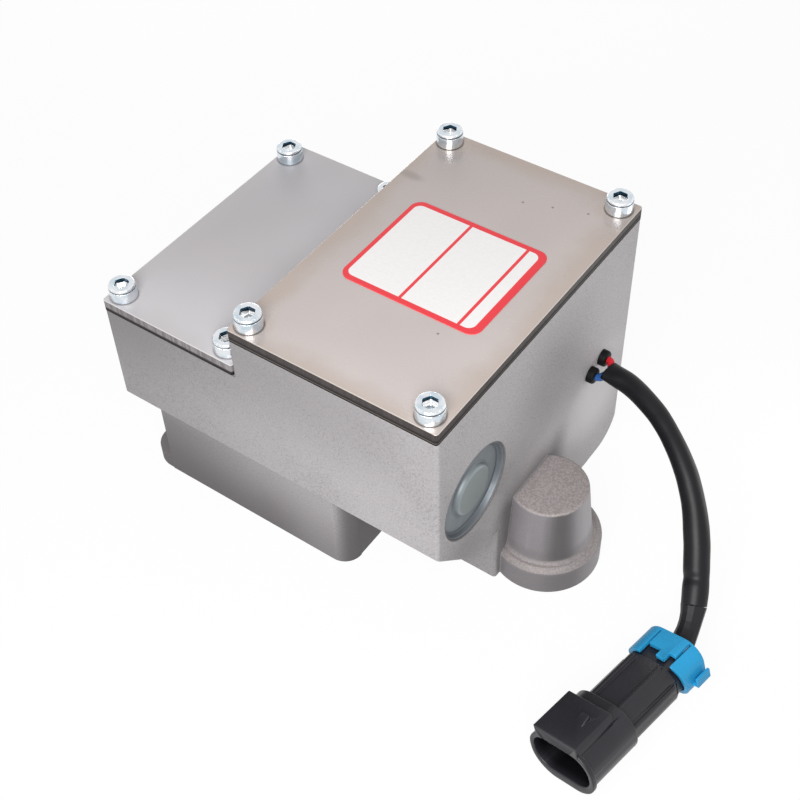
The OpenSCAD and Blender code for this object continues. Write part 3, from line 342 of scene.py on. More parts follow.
def castLook():
    # Fine blasted grain with darker specks, browner on the ear's top, with painted shade towards
    # the foot, in corners and beside the ear, and painted light on the body's right rear and the
    # boss's outer side
    t, share, turned, at = castTone, castShares, castFacing, inMetres(castSpans)
    look = Look("castAluminium", Specular_IOR_Level=t["shine"])
    x, y, z = look.axes()
    facing = look.normal()
    grain = look.noise(t["grain"], 2, 0.6)
    coarse = look.noise(t["coarse"], 2, 0.6)
    cloud = look.noise(t["cloud"], 3, 0.6)
    specks = look.noise(t["specks"], 1, 0.5)
    drift = cloud - 0.5
    tone = look.between(grain.ramp(*t["grainSpan"]), t["dark"], t["colour"])
    tone = look.over(tone, cloud.ramp(*t["cloudSpan"]) * share["cloud"], t["dark"])

    # A band under the covers is darker, and the blasting there is more speckled
    band = z.ramp(*at["bandUp"])
    banded = band * share["band"] * x.fall(*at["bandRight"])
    tone = look.over(tone, banded, shaded(t["dark"], t["bandShade"]))
    speckled = (specks + drift * t["speckCloud"] + band * t["speckBand"]).ramp(*t["speckSpan"])
    tone = look.over(tone, speckled * share["speck"], t["speck"])

    # Painted shade: the front face grows duller towards the lever's end and the covers
    front = (0.0 - facing[1]).ramp(*turned["front"])
    corner = x.fall(*at["cornerLeft"]) * z.ramp(*at["cornerUp"])
    dull = front * (x.fall(*at["frontLeft"]) * share["frontLeft"]
                    + z.ramp(*at["frontUp"]) * share["frontUp"] + corner * share["frontCorner"])
    tone = look.mix(dull, tone, t["frontShadeLinear"])

    # Painted light: a pale spot on the right side of the body at its rear; painted shade: dull
    # spots beside the plug
    near = x.ramp(*at["near"])
    px, py, pz, wide = at["paintedLightSpot"]
    paintedLight = look.distance((px, py, pz)).fall(wide * share["paintedLightCore"], wide)
    tone = look.over(tone, paintedLight * share["paintedLight"], t["paintedLight"])
    for px, py, pz, wide in at["shadeSpots"]:
        spot = look.distance((px, py, pz)) + drift * at["shadeSpotCloud"]
        spot = spot.fall(wide * share["shadeCore"], wide) * near
        tone = look.over(tone, spot * share["shadeSpot"], t["foot"])

    # Painted shade: the lower block darkens to its foot, to the left and on the cheek beside the
    # ear
    low = (z + drift * at["footCloud"]).fall(*at["footUp"]) * (1.0 - near)
    low = low * (1.0 - x.ramp(*at["footFront"]) * share["footFront"])
    tone = look.over(tone, low, t["foot"])
    left = x.fall(*at["leftAcross"]) * z.fall(*at["leftUp"]) * share["left"]
    tone = look.over(tone, left, t["cheekShade"])
    # Painted shade: a dark line round the plug's bore, and a dark band on the wall beside the ear
    bore = length2(y - at["boreMiddle"][0], z - at["boreMiddle"][1])
    bore = abs(bore - at["boreRadius"]).fall(*at["boreLine"])
    tone = look.over(tone, bore * near * share["bore"], t["cheekShade"])
    beside = abs(y - at["earMiddle"]).fall(*at["beside"]) * z.fall(*at["besideUp"]) * near
    tone = look.over(tone, beside * share["beside"], t["cheekShade"])
    cheekShade = facing[0].ramp(*turned["cheekShade"]) * (1.0 - near) * z.fall(*at["cheekUp"])
    tone = look.over(tone, cheekShade * share["cheekShade"], t["cheekShade"])

    # The ear: its top, and its boss's side, with painted shade in the valley against the wall and
    # at the ear's foot, painted light outside and a painted highlight on the flange's rim
    onEar = x.ramp(*at["earFrom"]) * z.fall(*at["earTop"])
    earTop = facing[2].ramp(*turned["earTop"])
    ear = look.between(coarse.ramp(*t["coarseSpan"]), t["earDark"], t["ear"])
    side = look.between(grain.ramp(*t["earSideSpan"]) * share["earGrain"], t["earSide"],
                        shaded(t["earSide"], t["earSideShade"]))
    outer = facing[0] * t["outerSide"][0] + facing[1] * t["outerSide"][1]
    onBoss = z.ramp(*at["flangeTop"])
    valleyShade = abs(outer - t["valleyAt"]).fall(*turned["valleyShade"])
    valleyShade = valleyShade * (share["valleyShade"] + share["valleyUp"] * onBoss)
    side = look.over(side, (valleyShade + drift * share["valleyCloud"]).clamped(), t["cheekShade"])
    side = look.over(side, outer.ramp(*turned["outer"]) * share["outer"], t["paintedLight"])
    rim = ((z - at["rimFrom"]) * (1.0 - onBoss)).ramp(*at["rim"])
    side = look.over(side, rim * share["rim"], t["ear"])
    ear = look.mix(earTop, side, ear)
    ear = look.over(ear, z.fall(*at["earFootShade"]) * share["earFootShade"], t["cheekShade"])
    tone = look.mix(onEar, tone, ear)
    rough = share["bumpCoarse"] + onEar * earTop * share["bumpEar"]
    look.bump(grain * share["bumpGrain"] + coarse * rough, t["depth"])
    return look.set(Base_Color=tone, Metallic=t["metal"],
                    Roughness=t["rough"] + t["roughSpread"] * coarse).material


# The line colour is a painted highlight on the arris, and far darkens the far corner as painted
# shade
coverTone = {
    "colour": (206, 196, 193), "dull": (192, 182, 179), "tan": (176, 158, 142),
    "edge": (56, 49, 47), "edgeDark": (40, 34, 33), "line": (224, 216, 210),
    "blot": (150, 141, 137), "arrisHighlightShare": 0.4, "far": 0.8, "rough": 0.24, "metal": 0.4,
    "streak": 0.0, "blots": [(-20.0, 37.0, 8.0, 3.0)],
    "dots": [(25.0, 46.5), (36.0, 50.0), (49.0, 54.0), (38.0, -30.0)],
}
leverCoverTone = dict(
    coverTone, colour=(204, 201, 204), dull=(195, 191, 194), tan=(190, 186, 186),
    edge=(146, 141, 143), edgeDark=(116, 111, 113), line=(214, 212, 214), blots=[], dots=[],
    arrisHighlightShare=0.7, rough=0.46, metal=0.15, streak=0.5)
coverGrain = {
    "cloud": 34.0, "wide": 13.0, "fine": 1400.0, "drawn": 70.0, "drawnScale": (1, 18, 1),
    "drawnTurn": (0, 0, 0.3), "saw": 900.0, "sawScale": (1, 1, 0.05), "depth": 0.00002,
    "wideSpan": (0.35, 0.7), "fineSpan": (0.45, 0.7), "drawnSpan": (0.4, 0.8),
    "sawSpan": (0.35, 0.65), "farSpan": (0.2, 1.0), "blotSpan": (0.4, 1.3), "blotCloud": 1.5,
}
coverShares = {
    "fine": 0.12, "drawn": 0.06, "farBack": 0.6, "farLeft": 0.5, "stain": 0.45, "blot": 0.6,
    "shade": 0.6, "dot": 0.6, "bumpDrawn": 0.15, "bumpFine": 0.2, "flankMetal": 0.85,
    "flankRough": 0.3, "drawnRough": 0.05,
}
coverSpans = {
    "stain": (0.4, 12), "stainCloud": 20, "screwStain": (5.2, 11.5), "screwCloud": 8,
    "screwShade": (5.3, 6.1), "blotHeight": 10, "arris": (0.1, 0.4), "arrisUp": (-0.3, -0.2),
    "dot": (0.2, 0.7), "flankUp": (-0.38, -0.18),
}


def coverLook(name, tone, nodeName, screwNode):
    # Rolled sheet: tan stain at the edges and round the screws, dull clouds, painted shade towards
    # the far corner, a painted shadow round each screw head and a painted highlight on the arris
    share, noise, at = coverShares, coverGrain, inMetres(coverSpans)
    look = Look(name)
    low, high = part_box(nodeName)
    x, y, z = look.axes()
    cloud = look.noise(noise["cloud"], 3, 0.6)
    wide = look.noise(noise["wide"], 2, 0.5)
    fine = look.noise(noise["fine"], 2, 0.6)
    along = look.stretched(*noise["drawnScale"], noise["drawnTurn"])
    drawn = look.noise(noise["drawn"], 3, 0.6, along)
    drift, up = cloud - 0.5, z - high.z
    edge = (x - low.x).atMost(high.x - x).atMost((y - low.y).atMost(high.y - y))
    screws = [look.distance((px, py, high.z)) for px, py in cornerPlaces(screwNode)]
    stain = largest([(edge + drift * at["stainCloud"]).fall(*at["stain"])]
                    + [(s + drift * at["screwCloud"]).fall(*at["screwStain"]) for s in screws])
    shade = largest([s.fall(*at["screwShade"]) for s in screws])
    base = look.between(wide.ramp(*noise["wideSpan"]), tone["colour"], tone["dull"])
    worn = (fine.ramp(*noise["fineSpan"]) * share["fine"]
            + drawn.ramp(*noise["drawnSpan"]) * share["drawn"])
    base = look.over(base, worn, tone["dull"])

    # Painted shade, duller towards the far left corner
    right, back = [(v - a) / (b - a) for v, a, b in ((x, low.x, high.x), (y, low.y, high.y))]
    far = (back * share["farBack"] + (1.0 - right) * share["farLeft"]).ramp(*noise["farSpan"])
    base = look.mix(far, base, look.mix(1.0, base, (tone["far"],) * 3, "MULTIPLY"))
    base = look.over(base, stain * share["stain"], tone["tan"])
    for bx, by, wideX, wideY in tone["blots"]:
        spot = look.node("ShaderNodeMapping", {"vector_type": "TEXTURE"}, {
            "Vector": look.place, "Location": (bx * millimetre, by * millimetre, high.z),
            "Scale": (wideX * millimetre, wideY * millimetre, at["blotHeight"])})
        reach = look.node("ShaderNodeVectorMath", {"operation": "LENGTH"}, {0: spot}, 1)
        blot = (reach + drift * noise["blotCloud"]).fall(*noise["blotSpan"])
        base = look.over(base, blot * share["blot"], tone["blot"])
    # Painted shadow round each screw head
    base = look.over(base, shade * share["shade"], tone["edgeDark"])
    # Painted highlight along the arris
    arris = edge.fall(*at["arris"]) * up.ramp(*at["arrisUp"])
    base = look.over(base, arris * tone["arrisHighlightShare"], tone["line"])
    for dotX, dotY in tone["dots"]:
        dot = look.distance((dotX * millimetre, dotY * millimetre, high.z)).fall(*at["dot"])
        base = look.over(base, dot * share["dot"], tone["edgeDark"])

    # The sawn side, below the arris
    saw = look.noise(noise["saw"], 2, 0.6, look.stretched(*noise["sawScale"]))
    side = look.between(saw.ramp(*noise["sawSpan"]), tone["edgeDark"], tone["edge"])
    flank = up.fall(*at["flankUp"])
    base = look.mix(flank, base, side)
    look.bump(drawn * share["bumpDrawn"] + fine * share["bumpFine"] + flank * saw * tone["streak"],
              noise["depth"])
    rough = tone["rough"] + share["drawnRough"] * drawn + flank * share["flankRough"]
    return look.set(Base_Color=base, Metallic=tone["metal"] * (1.0 - flank * share["flankMetal"]),
                    Roughness=rough).material


def cornerPlaces(nodeName):
    # Middles of the screws that stand in the corners of a cover
    low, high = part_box(nodeName)
    r = screwTone["headRadius"] * millimetre
    return [(x, y) for x in (low.x + r, high.x - r) for y in (low.y + r, high.y - r)]


# The rim colour is a painted highlight, the floor's white a painted highlight, and the socket,
# deep, line and foot colours painted shade
screwTone = {
    "headRadius": 5.3, "headHeight": 6.3, "keyRadius": 3.05, "socketDepth": 3.15,
    "zinc": (226, 230, 234), "blue": (198, 212, 222), "socket": (44, 84, 106),
    "deepShade": (20, 40, 54), "floor": (255, 255, 255), "line": (70, 76, 82), "rim": (250, 250, 250),
    "foot": (120, 118, 116), "cloud": 260.0, "sparkle": 1500.0, "blueSpan": (0.35, 0.7),
    "sparkleSpan": (0.45, 0.6), "metal": 0.9, "rough": 0.14, "cloudRough": 0.1, "socketRough": 0.06,
}
screwSpans = {
    "rimRadius": (4.3, 4.7), "lineRadius": (4.8, 5.0), "key": (-0.05, 0.05),
}
screwHeights = {  # as shares of the head's height, and from the socket wall's span on, as shares of the socket's depth
    "rim": (0.88, 0.93), "lineAt": 0.795, "line": (0.02, 0.05), "key": (0.975, 0.995),
    "foot": (0.0, 0.1), "wall": (0.1, 0.5), "floor": (0.5, 0.62), "floorCloud": 0.5,
}
screwShares = {"line": 0.9, "foot": 0.6}


def screwLook(name, screwNode):
    # Bright zinc with a painted highlight round the rim; the socket is teal with painted shade
    # deepening down its wall and a white floor that is a painted highlight, a painted shadow line
    # is under the rim and painted shade at the head's foot
    t, up, at, lot = screwTone, screwHeights, inMetres(screwSpans), screwShares
    look = Look(name)
    low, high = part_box(screwNode)
    x, y, z = look.axes()
    reach = []
    for value, a, b in ((x, low.x, high.x), (y, low.y, high.y)):
        half = (b - a) / 2 - t["headRadius"] * millimetre
        reach.append(abs(value - (a + b) / 2) - half)
    radius = length2(*reach)
    foot = high.z - t["headHeight"] * millimetre
    share = (z - foot) / (t["headHeight"] * millimetre)
    cloud = look.noise(t["cloud"], 2, 0.5)
    sparkle = look.noise(t["sparkle"], 2, 0.7)
    base = look.between(cloud.ramp(*t["blueSpan"]), t["zinc"], t["blue"])
    # Painted highlight round the rim, and a painted shadow line under it
    rim = radius.ramp(*at["rimRadius"]) * share.ramp(*up["rim"])
    base = look.over(base, rim * sparkle.ramp(*t["sparkleSpan"]), t["rim"])
    line = radius.ramp(*at["lineRadius"]) * abs(share - up["lineAt"]).fall(*up["line"])
    base = look.over(base, line * lot["line"], t["line"])
    # The socket: painted shade deepening down its wall, and a white floor that is a painted
    # highlight over the metal's own reflection
    inside = (radius - t["keyRadius"] * millimetre).fall(*at["key"]) * share.fall(*up["key"])
    depth = (high.z - z) / (t["socketDepth"] * millimetre)
    wall = look.between(depth.ramp(*up["wall"]), t["socket"], t["deepShade"])
    floorHighlight = (depth + (cloud - 0.5) * up["floorCloud"]).ramp(*up["floor"])
    base = look.mix(inside, base, look.over(wall, floorHighlight, t["floor"]))
    # Painted shade at the head's foot, against the cover
    base = look.over(base, share.fall(*up["foot"]) * lot["foot"], t["foot"])
    rough = t["rough"] + t["cloudRough"] * cloud + inside * t["socketRough"]
    return look.set(Base_Color=base, Metallic=t["metal"], Roughness=rough).material


plugTone = {
    "colour": (134, 141, 145), "dark": (92, 97, 103), "paintedLight": (160, 169, 172),
    "disc": (138, 145, 145), "shade": 0.93, "cloud": 140.0, "grain": 500.0, "depth": 0.00001,
    "metal": 0.45, "rough": 0.42, "cloudRough": 0.1,
}
plugSpans = {
    "middle": (-44.8, 71.5), "disc": (8.8, 9.4),
    "rings": [(18.2, 1.0), (11.1, 0.6), (9.5, 0.5)],  # radius and half width
}
# Painted shade in the rim's groove and round the disc's foot, and a painted highlight on the disc's
# shoulder
plugRings = (("dark", 0.75), ("dark", 0.5), ("paintedLight", 0.5))


def plugLook():
    # Pressed zinc cup: painted shade round the disc's foot and on the rim's wall, and a painted
    # highlight on the disc's shoulder
    t, at = plugTone, inMetres(plugSpans)
    look = Look("plugZinc")
    x, y, z = look.axes()
    radius = length2(y - at["middle"][0], z - at["middle"][1])
    cloud = look.noise(t["cloud"], 3, 0.6)
    base = look.between(cloud.ramp(*plainCloud), t["colour"], shaded(t["colour"], t["shade"]))
    base = look.over(base, radius.fall(*at["disc"]), t["disc"])
    for (middle, half), (tone, share) in zip(at["rings"], plugRings):
        ring = abs(radius - middle).fall(half * 0.4, half * 1.4)
        base = look.over(base, ring * share, t[tone])
    look.bump(look.noise(t["grain"], 2, 0.5), t["depth"])
    return look.set(Base_Color=base, Metallic=t["metal"],
                    Roughness=t["rough"] + t["cloudRough"] * cloud).material


def metalLook(name, colour, rough, metal=0.9, grain=400.0, depth=0.00002, stretch=(1, 1, 1)):
    # Metal with a drawn or even grain, cloudy between its colour and a darker one
    look = Look(name)
    streak = look.noise(grain, 3, 0.6, look.stretched(*stretch))
    cloud = look.noise(90.0, 3, 0.6)
    base = look.between(cloud.ramp(*plainCloud), shaded(colour, 0.8), colour)
    look.bump(streak, depth)
    return look.set(Base_Color=base, Metallic=metal,
                    Roughness=rough + 0.15 * (streak - 0.5)).material


def plainLook(name, colour, rough, grain=500.0, depth=0.00003, dark=0.85, shine=0.25):
    # Rubber, nylon or wire cover with a fine grain
    look = Look(name, Specular_IOR_Level=shine)
    fine = look.noise(grain, 3, 0.6)
    cloud = look.noise(60.0, 3, 0.6)
    base = look.between(cloud.ramp(*plainCloud), shaded(colour, dark), colour)
    look.bump(fine, depth)
    return look.set(Base_Color=base, Roughness=rough + 0.12 * (cloud - 0.5)).material


shellTone = {
    "colour": (35, 33, 39), "hollowShade": (26, 24, 29), "shade": 0.85, "yaw": -10.3, "roll": -18.0,
    "shine": 0.4, "grain": 700.0, "cloud": 60.0, "depth": 0.00003, "rough": 0.34,
    "hollowRough": 0.1, "hollowMetal": 0.85,
}
shellSpans = {
    "place": (133.8, -91.4, 2.25), "halfWidth": 12.8, "height": (4.0, 19.4), "length": 20.0,
    "corner": 7.0, "edge": 0.2, "mouth": (-1.0, 4.0),
}


def shellLook():
    # Moulded plastic with a fine grain and painted shade in the mouth, found in the connector's own
    # frame
    t, at = shellTone, inMetres(shellSpans)
    look = Look("connectorBlack", Specular_IOR_Level=t["shine"])
    turn = (Matrix.Rotation(math.radians(t["yaw"]), 3, "Z")
            @ Matrix.Rotation(math.radians(t["roll"]), 3, "Y"))
    place = Vector(at["place"])
    across, along, up = [look.node("ShaderNodeVectorMath", {"operation": "DOT_PRODUCT"}, {
        0: look.place, 1: axis}, 1) - axis.dot(place) for axis in turn.col]
    low, high = at["height"]
    corner, edge, length = at["corner"], at["edge"], at["length"]
    overX = (abs(across) - (at["halfWidth"] - corner)).atLeast(0.0)
    overZ = (abs(up - (low + high) / 2) - ((high - low) / 2 - corner)).atLeast(0.0)
    inside = length2(overX, overZ).fall(corner, corner + edge)
    inside = inside * along.ramp(*at["mouth"]) * along.fall(length, length + edge)
    fine = look.noise(t["grain"], 3, 0.6)
    cloud = look.noise(t["cloud"], 3, 0.6)
    base = look.between(cloud.ramp(*plainCloud), shaded(t["colour"], t["shade"]), t["colour"])
    look.bump(fine, t["depth"])
    # Painted shade inside the mouth
    return look.set(Base_Color=look.over(base, inside, t["hollowShade"]),
                    Metallic=inside * t["hollowMetal"],
                    Roughness=t["rough"] + inside * t["hollowRough"]).material


gasketTone = {
    "dark": (24, 21, 21), "colour": (44, 40, 39), "grain": 500.0, "grainSpan": (0.3, 0.7),
    "blur": 0.03, "shine": 0.2, "depth": 0.00004, "rough": 0.6,
}
gasketLayers = {
    "main_cover_gasket": ((0.0, 0.3, (22, 19, 19)), (0.36, 0.52, (96, 88, 84)),
                          (0.58, 0.86, (30, 26, 26)), (0.9, 1.0, (62, 56, 54))),
    "lever_cover_gasket": ((0.0, 0.7, (26, 23, 24)), (0.85, 1.0, (92, 88, 88))),
}


def gasketLook():
    # Layers of sheet between the cover and the casting, placed by shares of the gasket's height
    t = gasketTone
    look = Look("gasketSheet", Specular_IOR_Level=t["shine"])
    x, y, z = look.axes()
    fine = look.noise(t["grain"], 3, 0.6)
    base = look.between(fine.ramp(*t["grainSpan"]), t["dark"], t["colour"])
    for nodeName, layers in gasketLayers.items():
        low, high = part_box(nodeName)
        share = (z - low.z) / (high.z - low.z)
        for a, b, colour in layers:
            band = (share - a).ramp(-t["blur"], t["blur"]) * (share - b).fall(-t["blur"], t["blur"])
            base = look.over(base, band, colour)
    look.bump(fine, t["depth"])
    return look.set(Base_Color=base, Roughness=t["rough"]).material


plateTone = {
    "red": (234, 54, 64), "white": (246, 244, 243), "shade": 0.985, "dividers": (0.437, 0.856),
    "grain": 900.0, "grainSpan": (0.3, 0.7), "depth": 0.00001, "rough": 0.35,
}
plateSpans = {
    "borders": (1.8, 3.0, 2.2, 2.2), "dividerWidth": 1.3, "corner": 3.0, "blur": 0.15,
}


def plateLook():
    # Red frame and two red dividers round blank fields, all measured from the plate's own edges
    t, at = plateTone, inMetres(plateSpans)
    look = Look("plateFoil")
    low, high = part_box("rating_plate")
    x, y, z = look.axes()
    left, right, front, back = at["borders"]
    blur, corner = at["blur"], at["corner"]
    over = []
    for value, a, b in ((x, low.x + left, high.x - right), (y, low.y + front, high.y - back)):
        over.append((abs(value - (a + b) / 2) - ((b - a) / 2 - corner)).atLeast(0.0))
    red = length2(*over).ramp(corner - blur, corner + blur)
    for share in t["dividers"]:
        line = abs(x - (low.x + (high.x - low.x) * share)) - at["dividerWidth"] / 2
        red = red.atLeast(line.fall(-blur, blur))
    fine = look.noise(t["grain"], 2, 0.5)
    paper = look.between(fine.ramp(*t["grainSpan"]), shaded(t["white"], t["shade"]), t["white"])
    look.bump(fine, t["depth"])
    return look.set(Base_Color=look.over(paper, red, t["red"]), Roughness=t["rough"]).material


finishes = {
    "cast_aluminium": castLook(),
    "main_cover_sheet": coverLook("mainCoverSheet", coverTone, "main_cover", "main_cover_screws"),
    "lever_cover_sheet": coverLook("leverCoverSheet", leverCoverTone, "lever_cover",
                                   "lever_cover_screws"),
    "gasket_black": gasketLook(),
    "plug_zinc": plugLook(),
    "plate_foil": plateLook(),
    "grommet_rubber": plainLook("grommetRubber", (12, 11, 13), 0.6, shine=0.15),
    "lamination_steel": metalLook("laminationSteel", (120, 122, 126), 0.5, 0.7, 900.0, 0.00008,
                                  (3, 0.1, 0.1)),
    "bolt_black": metalLook("boltBlack", (52, 52, 56), 0.4, 0.7),
    "bobbin_nylon": plainLook("bobbinNylon", (38, 38, 42), 0.5),
    "winding_copper": metalLook("windingCopper", (190, 110, 60), 0.35, 0.8, 1500.0, 0.00008,
                                (0.1, 0.1, 2)),
    "ground_steel": metalLook("groundSteel", (190, 192, 196), 0.25, 0.95, 900.0, 0.00001,
                              (4, 0.3, 0.3)),
    "armature_iron": metalLook("armatureIron", (140, 142, 146), 0.4, 0.85, 700.0, 0.00003),
    "bearing_steel": metalLook("bearingSteel", (200, 202, 206), 0.15, 1.0),
    "lever_steel": metalLook("leverSteel", (150, 152, 156), 0.42, 0.85, 500.0, 0.00004),
    "link_zinc": metalLook("linkZinc", (178, 166, 120), 0.35, 0.8, 300.0),
    "spring_steel": metalLook("springSteel", (96, 98, 104), 0.3, 0.9, 900.0, 0.00001),
    "lead_red": plainLook("leadRed", (228, 40, 54), 0.4),
    "lead_blue": plainLook("leadBlue", (38, 92, 164), 0.4),
    "sleeve_black": plainLook("sleeveBlack", (19, 18, 22), 0.4, 240.0),
    "boot_black": plainLook("bootBlack", (26, 25, 29), 0.45),
    "connector_black": shellLook(),
    "clip_blue": plainLook("clipBlue", (44, 156, 208), 0.36, 500.0, 0.00002, 0.95),
    "seal_grey": plainLook("sealGrey", (60, 60, 64), 0.6),
    "terminal_tin": metalLook("terminalTin", (190, 188, 182), 0.3),
}
screwFinish = {n: screwLook(n.replace("_", ""), n)
               for n in ("main_cover_screws", "lever_cover_screws")}
print("finishes made:", len(finishes) + len(screwFinish))


def finishOf(nodeName):
    return screwFinish.get(nodeName) or finishes[slotOf[nodeName]]


def dress(piece, nodeName):
    piece.data.materials.clear()
    piece.data.materials.append(finishOf(nodeName))


for name, node in nodes.items():
    if not node.material_slots:
        node.data.materials.append(None)
    for materialSlot in node.material_slots:
        materialSlot.material = finishOf(name)


# Rounded edges: a merged copy of a solid's mesh with its sharp edges bevelled

softEdges = {  # the bevel's width and its segments
    "housing": (0.4, 3), "main_cover": (0.25, 2), "lever_cover": (0.25, 2),
    "main_cover_screws": (0.2, 2), "lever_cover_screws": (0.2, 2), "connector_shell": (0.45, 3),
    "connector_clip": (0.25, 2), "core_plug": (0.3, 3),
}
edgeRules = {
    "merge": 0.000001, "flatTo": 0.6, "bevelFrom": 32.0, "sharpFrom": 40.0,
    "keepTriangles": ("connector_clip", "connector_shell"),  # their slotted faces stay as they come
}


def mergedMesh(nodeName, flatFaces):
    # A copy of a solid's mesh with its doubled corners joined; flatFaces also joins its triangles
    mesh = nodes[nodeName].data.copy()
    shape = bmesh.new()
    shape.from_mesh(mesh)
    bmesh.ops.remove_doubles(shape, verts=shape.verts, dist=edgeRules["merge"])
    if flatFaces:
        bmesh.ops.dissolve_limit(shape, angle_limit=math.radians(edgeRules["flatTo"]),
                                 verts=shape.verts, edges=shape.edges)
    shape.to_mesh(mesh)
    shape.free()
    mesh.polygons.foreach_set("use_smooth", [True] * len(mesh.polygons))
    return mesh


def softened(nodeName, width, segments):
    mesh = mergedMesh(nodeName, nodeName not in edgeRules["keepTriangles"])
    piece = bpy.data.objects.new(nodeName + "Soft", mesh)
    scene.collection.objects.link(piece)
    bevel = piece.modifiers.new("edges", "BEVEL")
    bevel.width = width * millimetre
    bevel.segments = segments
    bevel.limit_method = "ANGLE"
    bevel.angle_limit = math.radians(edgeRules["bevelFrom"])
    bevel.use_clamp_overlap = False
    bevel.miter_outer = "MITER_ARC"
    bevel.harden_normals = True
    mesh.set_sharp_from_angle(angle=math.radians(edgeRules["sharpFrom"]))
    evaluated = piece.evaluated_get(bpy.context.evaluated_depsgraph_get())
    finished = bpy.data.meshes.new_from_object(evaluated)
    piece.modifiers.clear()
    piece.data = finished

    # No corner of a bevel stands outside the solid's own box
    corners = np.empty(len(finished.vertices) * 3, np.float32)
    finished.vertices.foreach_get("co", corners)
    low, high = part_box(nodeName)
    finished.vertices.foreach_set("co", np.clip(corners.reshape(-1, 3), low, high).ravel())
    dress(piece, nodeName)
    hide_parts(nodeName)
    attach(piece, bodyOf[nodeName])


for nodeName, (width, segments) in softEdges.items():
    softened(nodeName, width, segments)
print("edges rounded on", len(softEdges), "pieces")


# The lower block's front wall, flush with its flange and round at the right corner

footWall = {
    "left": -83.4, "right": 12.5, "front": -57.7, "back": -51.0, "cornerRadius": 8.0,
    "edgeRadius": 0.8, "low": 0.05, "high": 43.5, "sideBack": 1.5, "sideIn": 3.0, "backIn": 12.0,
    "cornerSteps": 15, "heightSteps": 24, "sharpFrom": 35.0,
}


def makeFootWall():
    # A plan curve (straight front, a quarter circle at each end) carried up, shut in the block
    f = footWall
    quarter = quarterAngles(f["cornerSteps"])
    r, e = f["cornerRadius"], f["edgeRadius"]
    leftTurn, sideEnd = quarter[::3], f["back"] + f["sideBack"]
    plan = np.vstack([
        [[f["left"], f["back"]]],
        np.stack([f["left"] + e - e * np.cos(leftTurn),
                  f["front"] + e - e * np.sin(leftTurn)], axis=1),
        np.stack([f["right"] - r + r * np.sin(quarter),
                  f["front"] + r - r * np.cos(quarter)], axis=1),
        [[f["right"], sideEnd], [f["right"] - f["sideIn"], sideEnd],
         [f["right"] - f["backIn"], f["back"]]],
    ])
    heights = np.linspace(f["low"], f["high"], f["heightSteps"])
    size = (len(heights), len(plan))
    grid = np.concatenate([np.broadcast_to(plan[None], size + (2,)),
                           np.broadcast_to(heights[:, None, None], size + (1,))], axis=2)
    piece = tubePiece("footWall", grid * millimetre)
    piece.data.set_sharp_from_angle(angle=math.radians(f["sharpFrom"]))
    dress(piece, "housing")
    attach(piece, "casting")


makeFootWall()


# The grommets: a flange outside, a neck through the wall and a lip inside, round each lead

grommet = {
    "boxRadius": 4.0, "flange": 3.4, "neck": 3.2, "bore": 1.35, "stand": 3.0, "lip": 1.5,
    "round": 1.0, "bendSteps": 7, "sides": 40, "sharpFrom": 50.0,
}


def makeGrommets():
    # A profile of radius against x, turned round the middle of each grommet
    g = grommet
    low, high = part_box("lead_grommets")
    inner, outer = low.x / millimetre, high.x / millimetre
    bend = quarterAngles(g["bendSteps"])
    bore, r, neck, e = g["bore"], g["flange"], g["neck"], g["round"]
    lipEnd, standFrom = inner + g["lip"], outer - g["stand"]
    radii = np.concatenate([[bore, r, r, neck, neck, r], r - e + e * np.cos(bend), [bore]])
    along = np.concatenate([[inner, inner, lipEnd, lipEnd, standFrom, standFrom],
                            outer - e + e * np.sin(bend), [outer]])
    radii, along = radii[:, None] * millimetre, along[:, None] * millimetre
    angle = ringAngles(g["sides"])
    size = len(along) * len(angle)
    quads = np.array(gridFaces(len(along) + 1, len(angle))) % size
    box = g["boxRadius"] * millimetre
    points, faces = [], []
    for y, z in ((low.y + box, low.z + box), (high.y - box, high.z - box)):
        faces += (quads + len(points) * size).tolist()
        ring = np.stack([np.broadcast_to(along, (len(along), len(angle))),
                         y + radii * np.cos(angle), z + radii * np.sin(angle)], axis=2)
        points.append(ring.reshape(-1, 3))
    piece = newPiece("leadGrommets", np.concatenate(points), faces)
    piece.data.set_sharp_from_angle(angle=math.radians(g["sharpFrom"]))
    dress(piece, "lead_grommets")
    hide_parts("lead_grommets")
    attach(piece, bodyOf["lead_grommets"])


makeGrommets()


# The torsion spring, as a copy of its mesh that stays where it is


def makeSpring():
    piece = bpy.data.objects.new("returnSpring", mergedMesh("return_spring", False))
    scene.collection.objects.link(piece)
    dress(piece, "return_spring")
    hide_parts("return_spring")
    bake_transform(piece)


makeSpring()
print("spring ready")


# The sleeve over the two leads

sleeve = {
    "route": [
        [70, 42.5, 62], [74.6, 41.7, 61.9], [79.4, 41, 61.8], [83.8, 39.7, 61.6],
        [87.9, 38.1, 61.2], [92.1, 36.4, 60.5], [96.3, 34.6, 59.6], [100.2, 32.5, 58.5],
        [103.9, 30.4, 57.1], [107.4, 28.2, 55.5], [110.8, 26, 53.7], [114.1, 23.7, 51.6],
        [117.2, 21.4, 49.4], [120, 19, 47], [122.7, 16.5, 44.4], [125.1, 14, 41.7],
        [127.3, 11.4, 38.9], [129.4, 8.7, 36], [131.4, 6, 33.1], [133.2, 3.1, 30.2],
        [135, 0.1, 27.4], [136.7, -2.9, 24.6], [138.3, -6, 21.8], [139.8, -9.2, 19],
    ],
    "radius": 4.4, "mouthHalfWidth": 4.9, "mouthHalfHeight": 2.7, "mouthLength": 0.045,
    "swellAt": [0.0, 0.12, 0.35, 0.5, 0.62, 0.72, 0.95, 1.0],
    "swell": [4.5, 4.3, 4.05, 4.4, 4.6, 5.05, 5.1, 4.9],
    "dentAt": 0.9, "dentLength": 0.018, "dentSide": 2.4, "dentDepth": 0.14,
    "ripples": 26, "rippleTwist": 2, "rippleHeight": 0.006, "rippleFrom": 0.02,
    "rings": 150, "sides": 48,
}


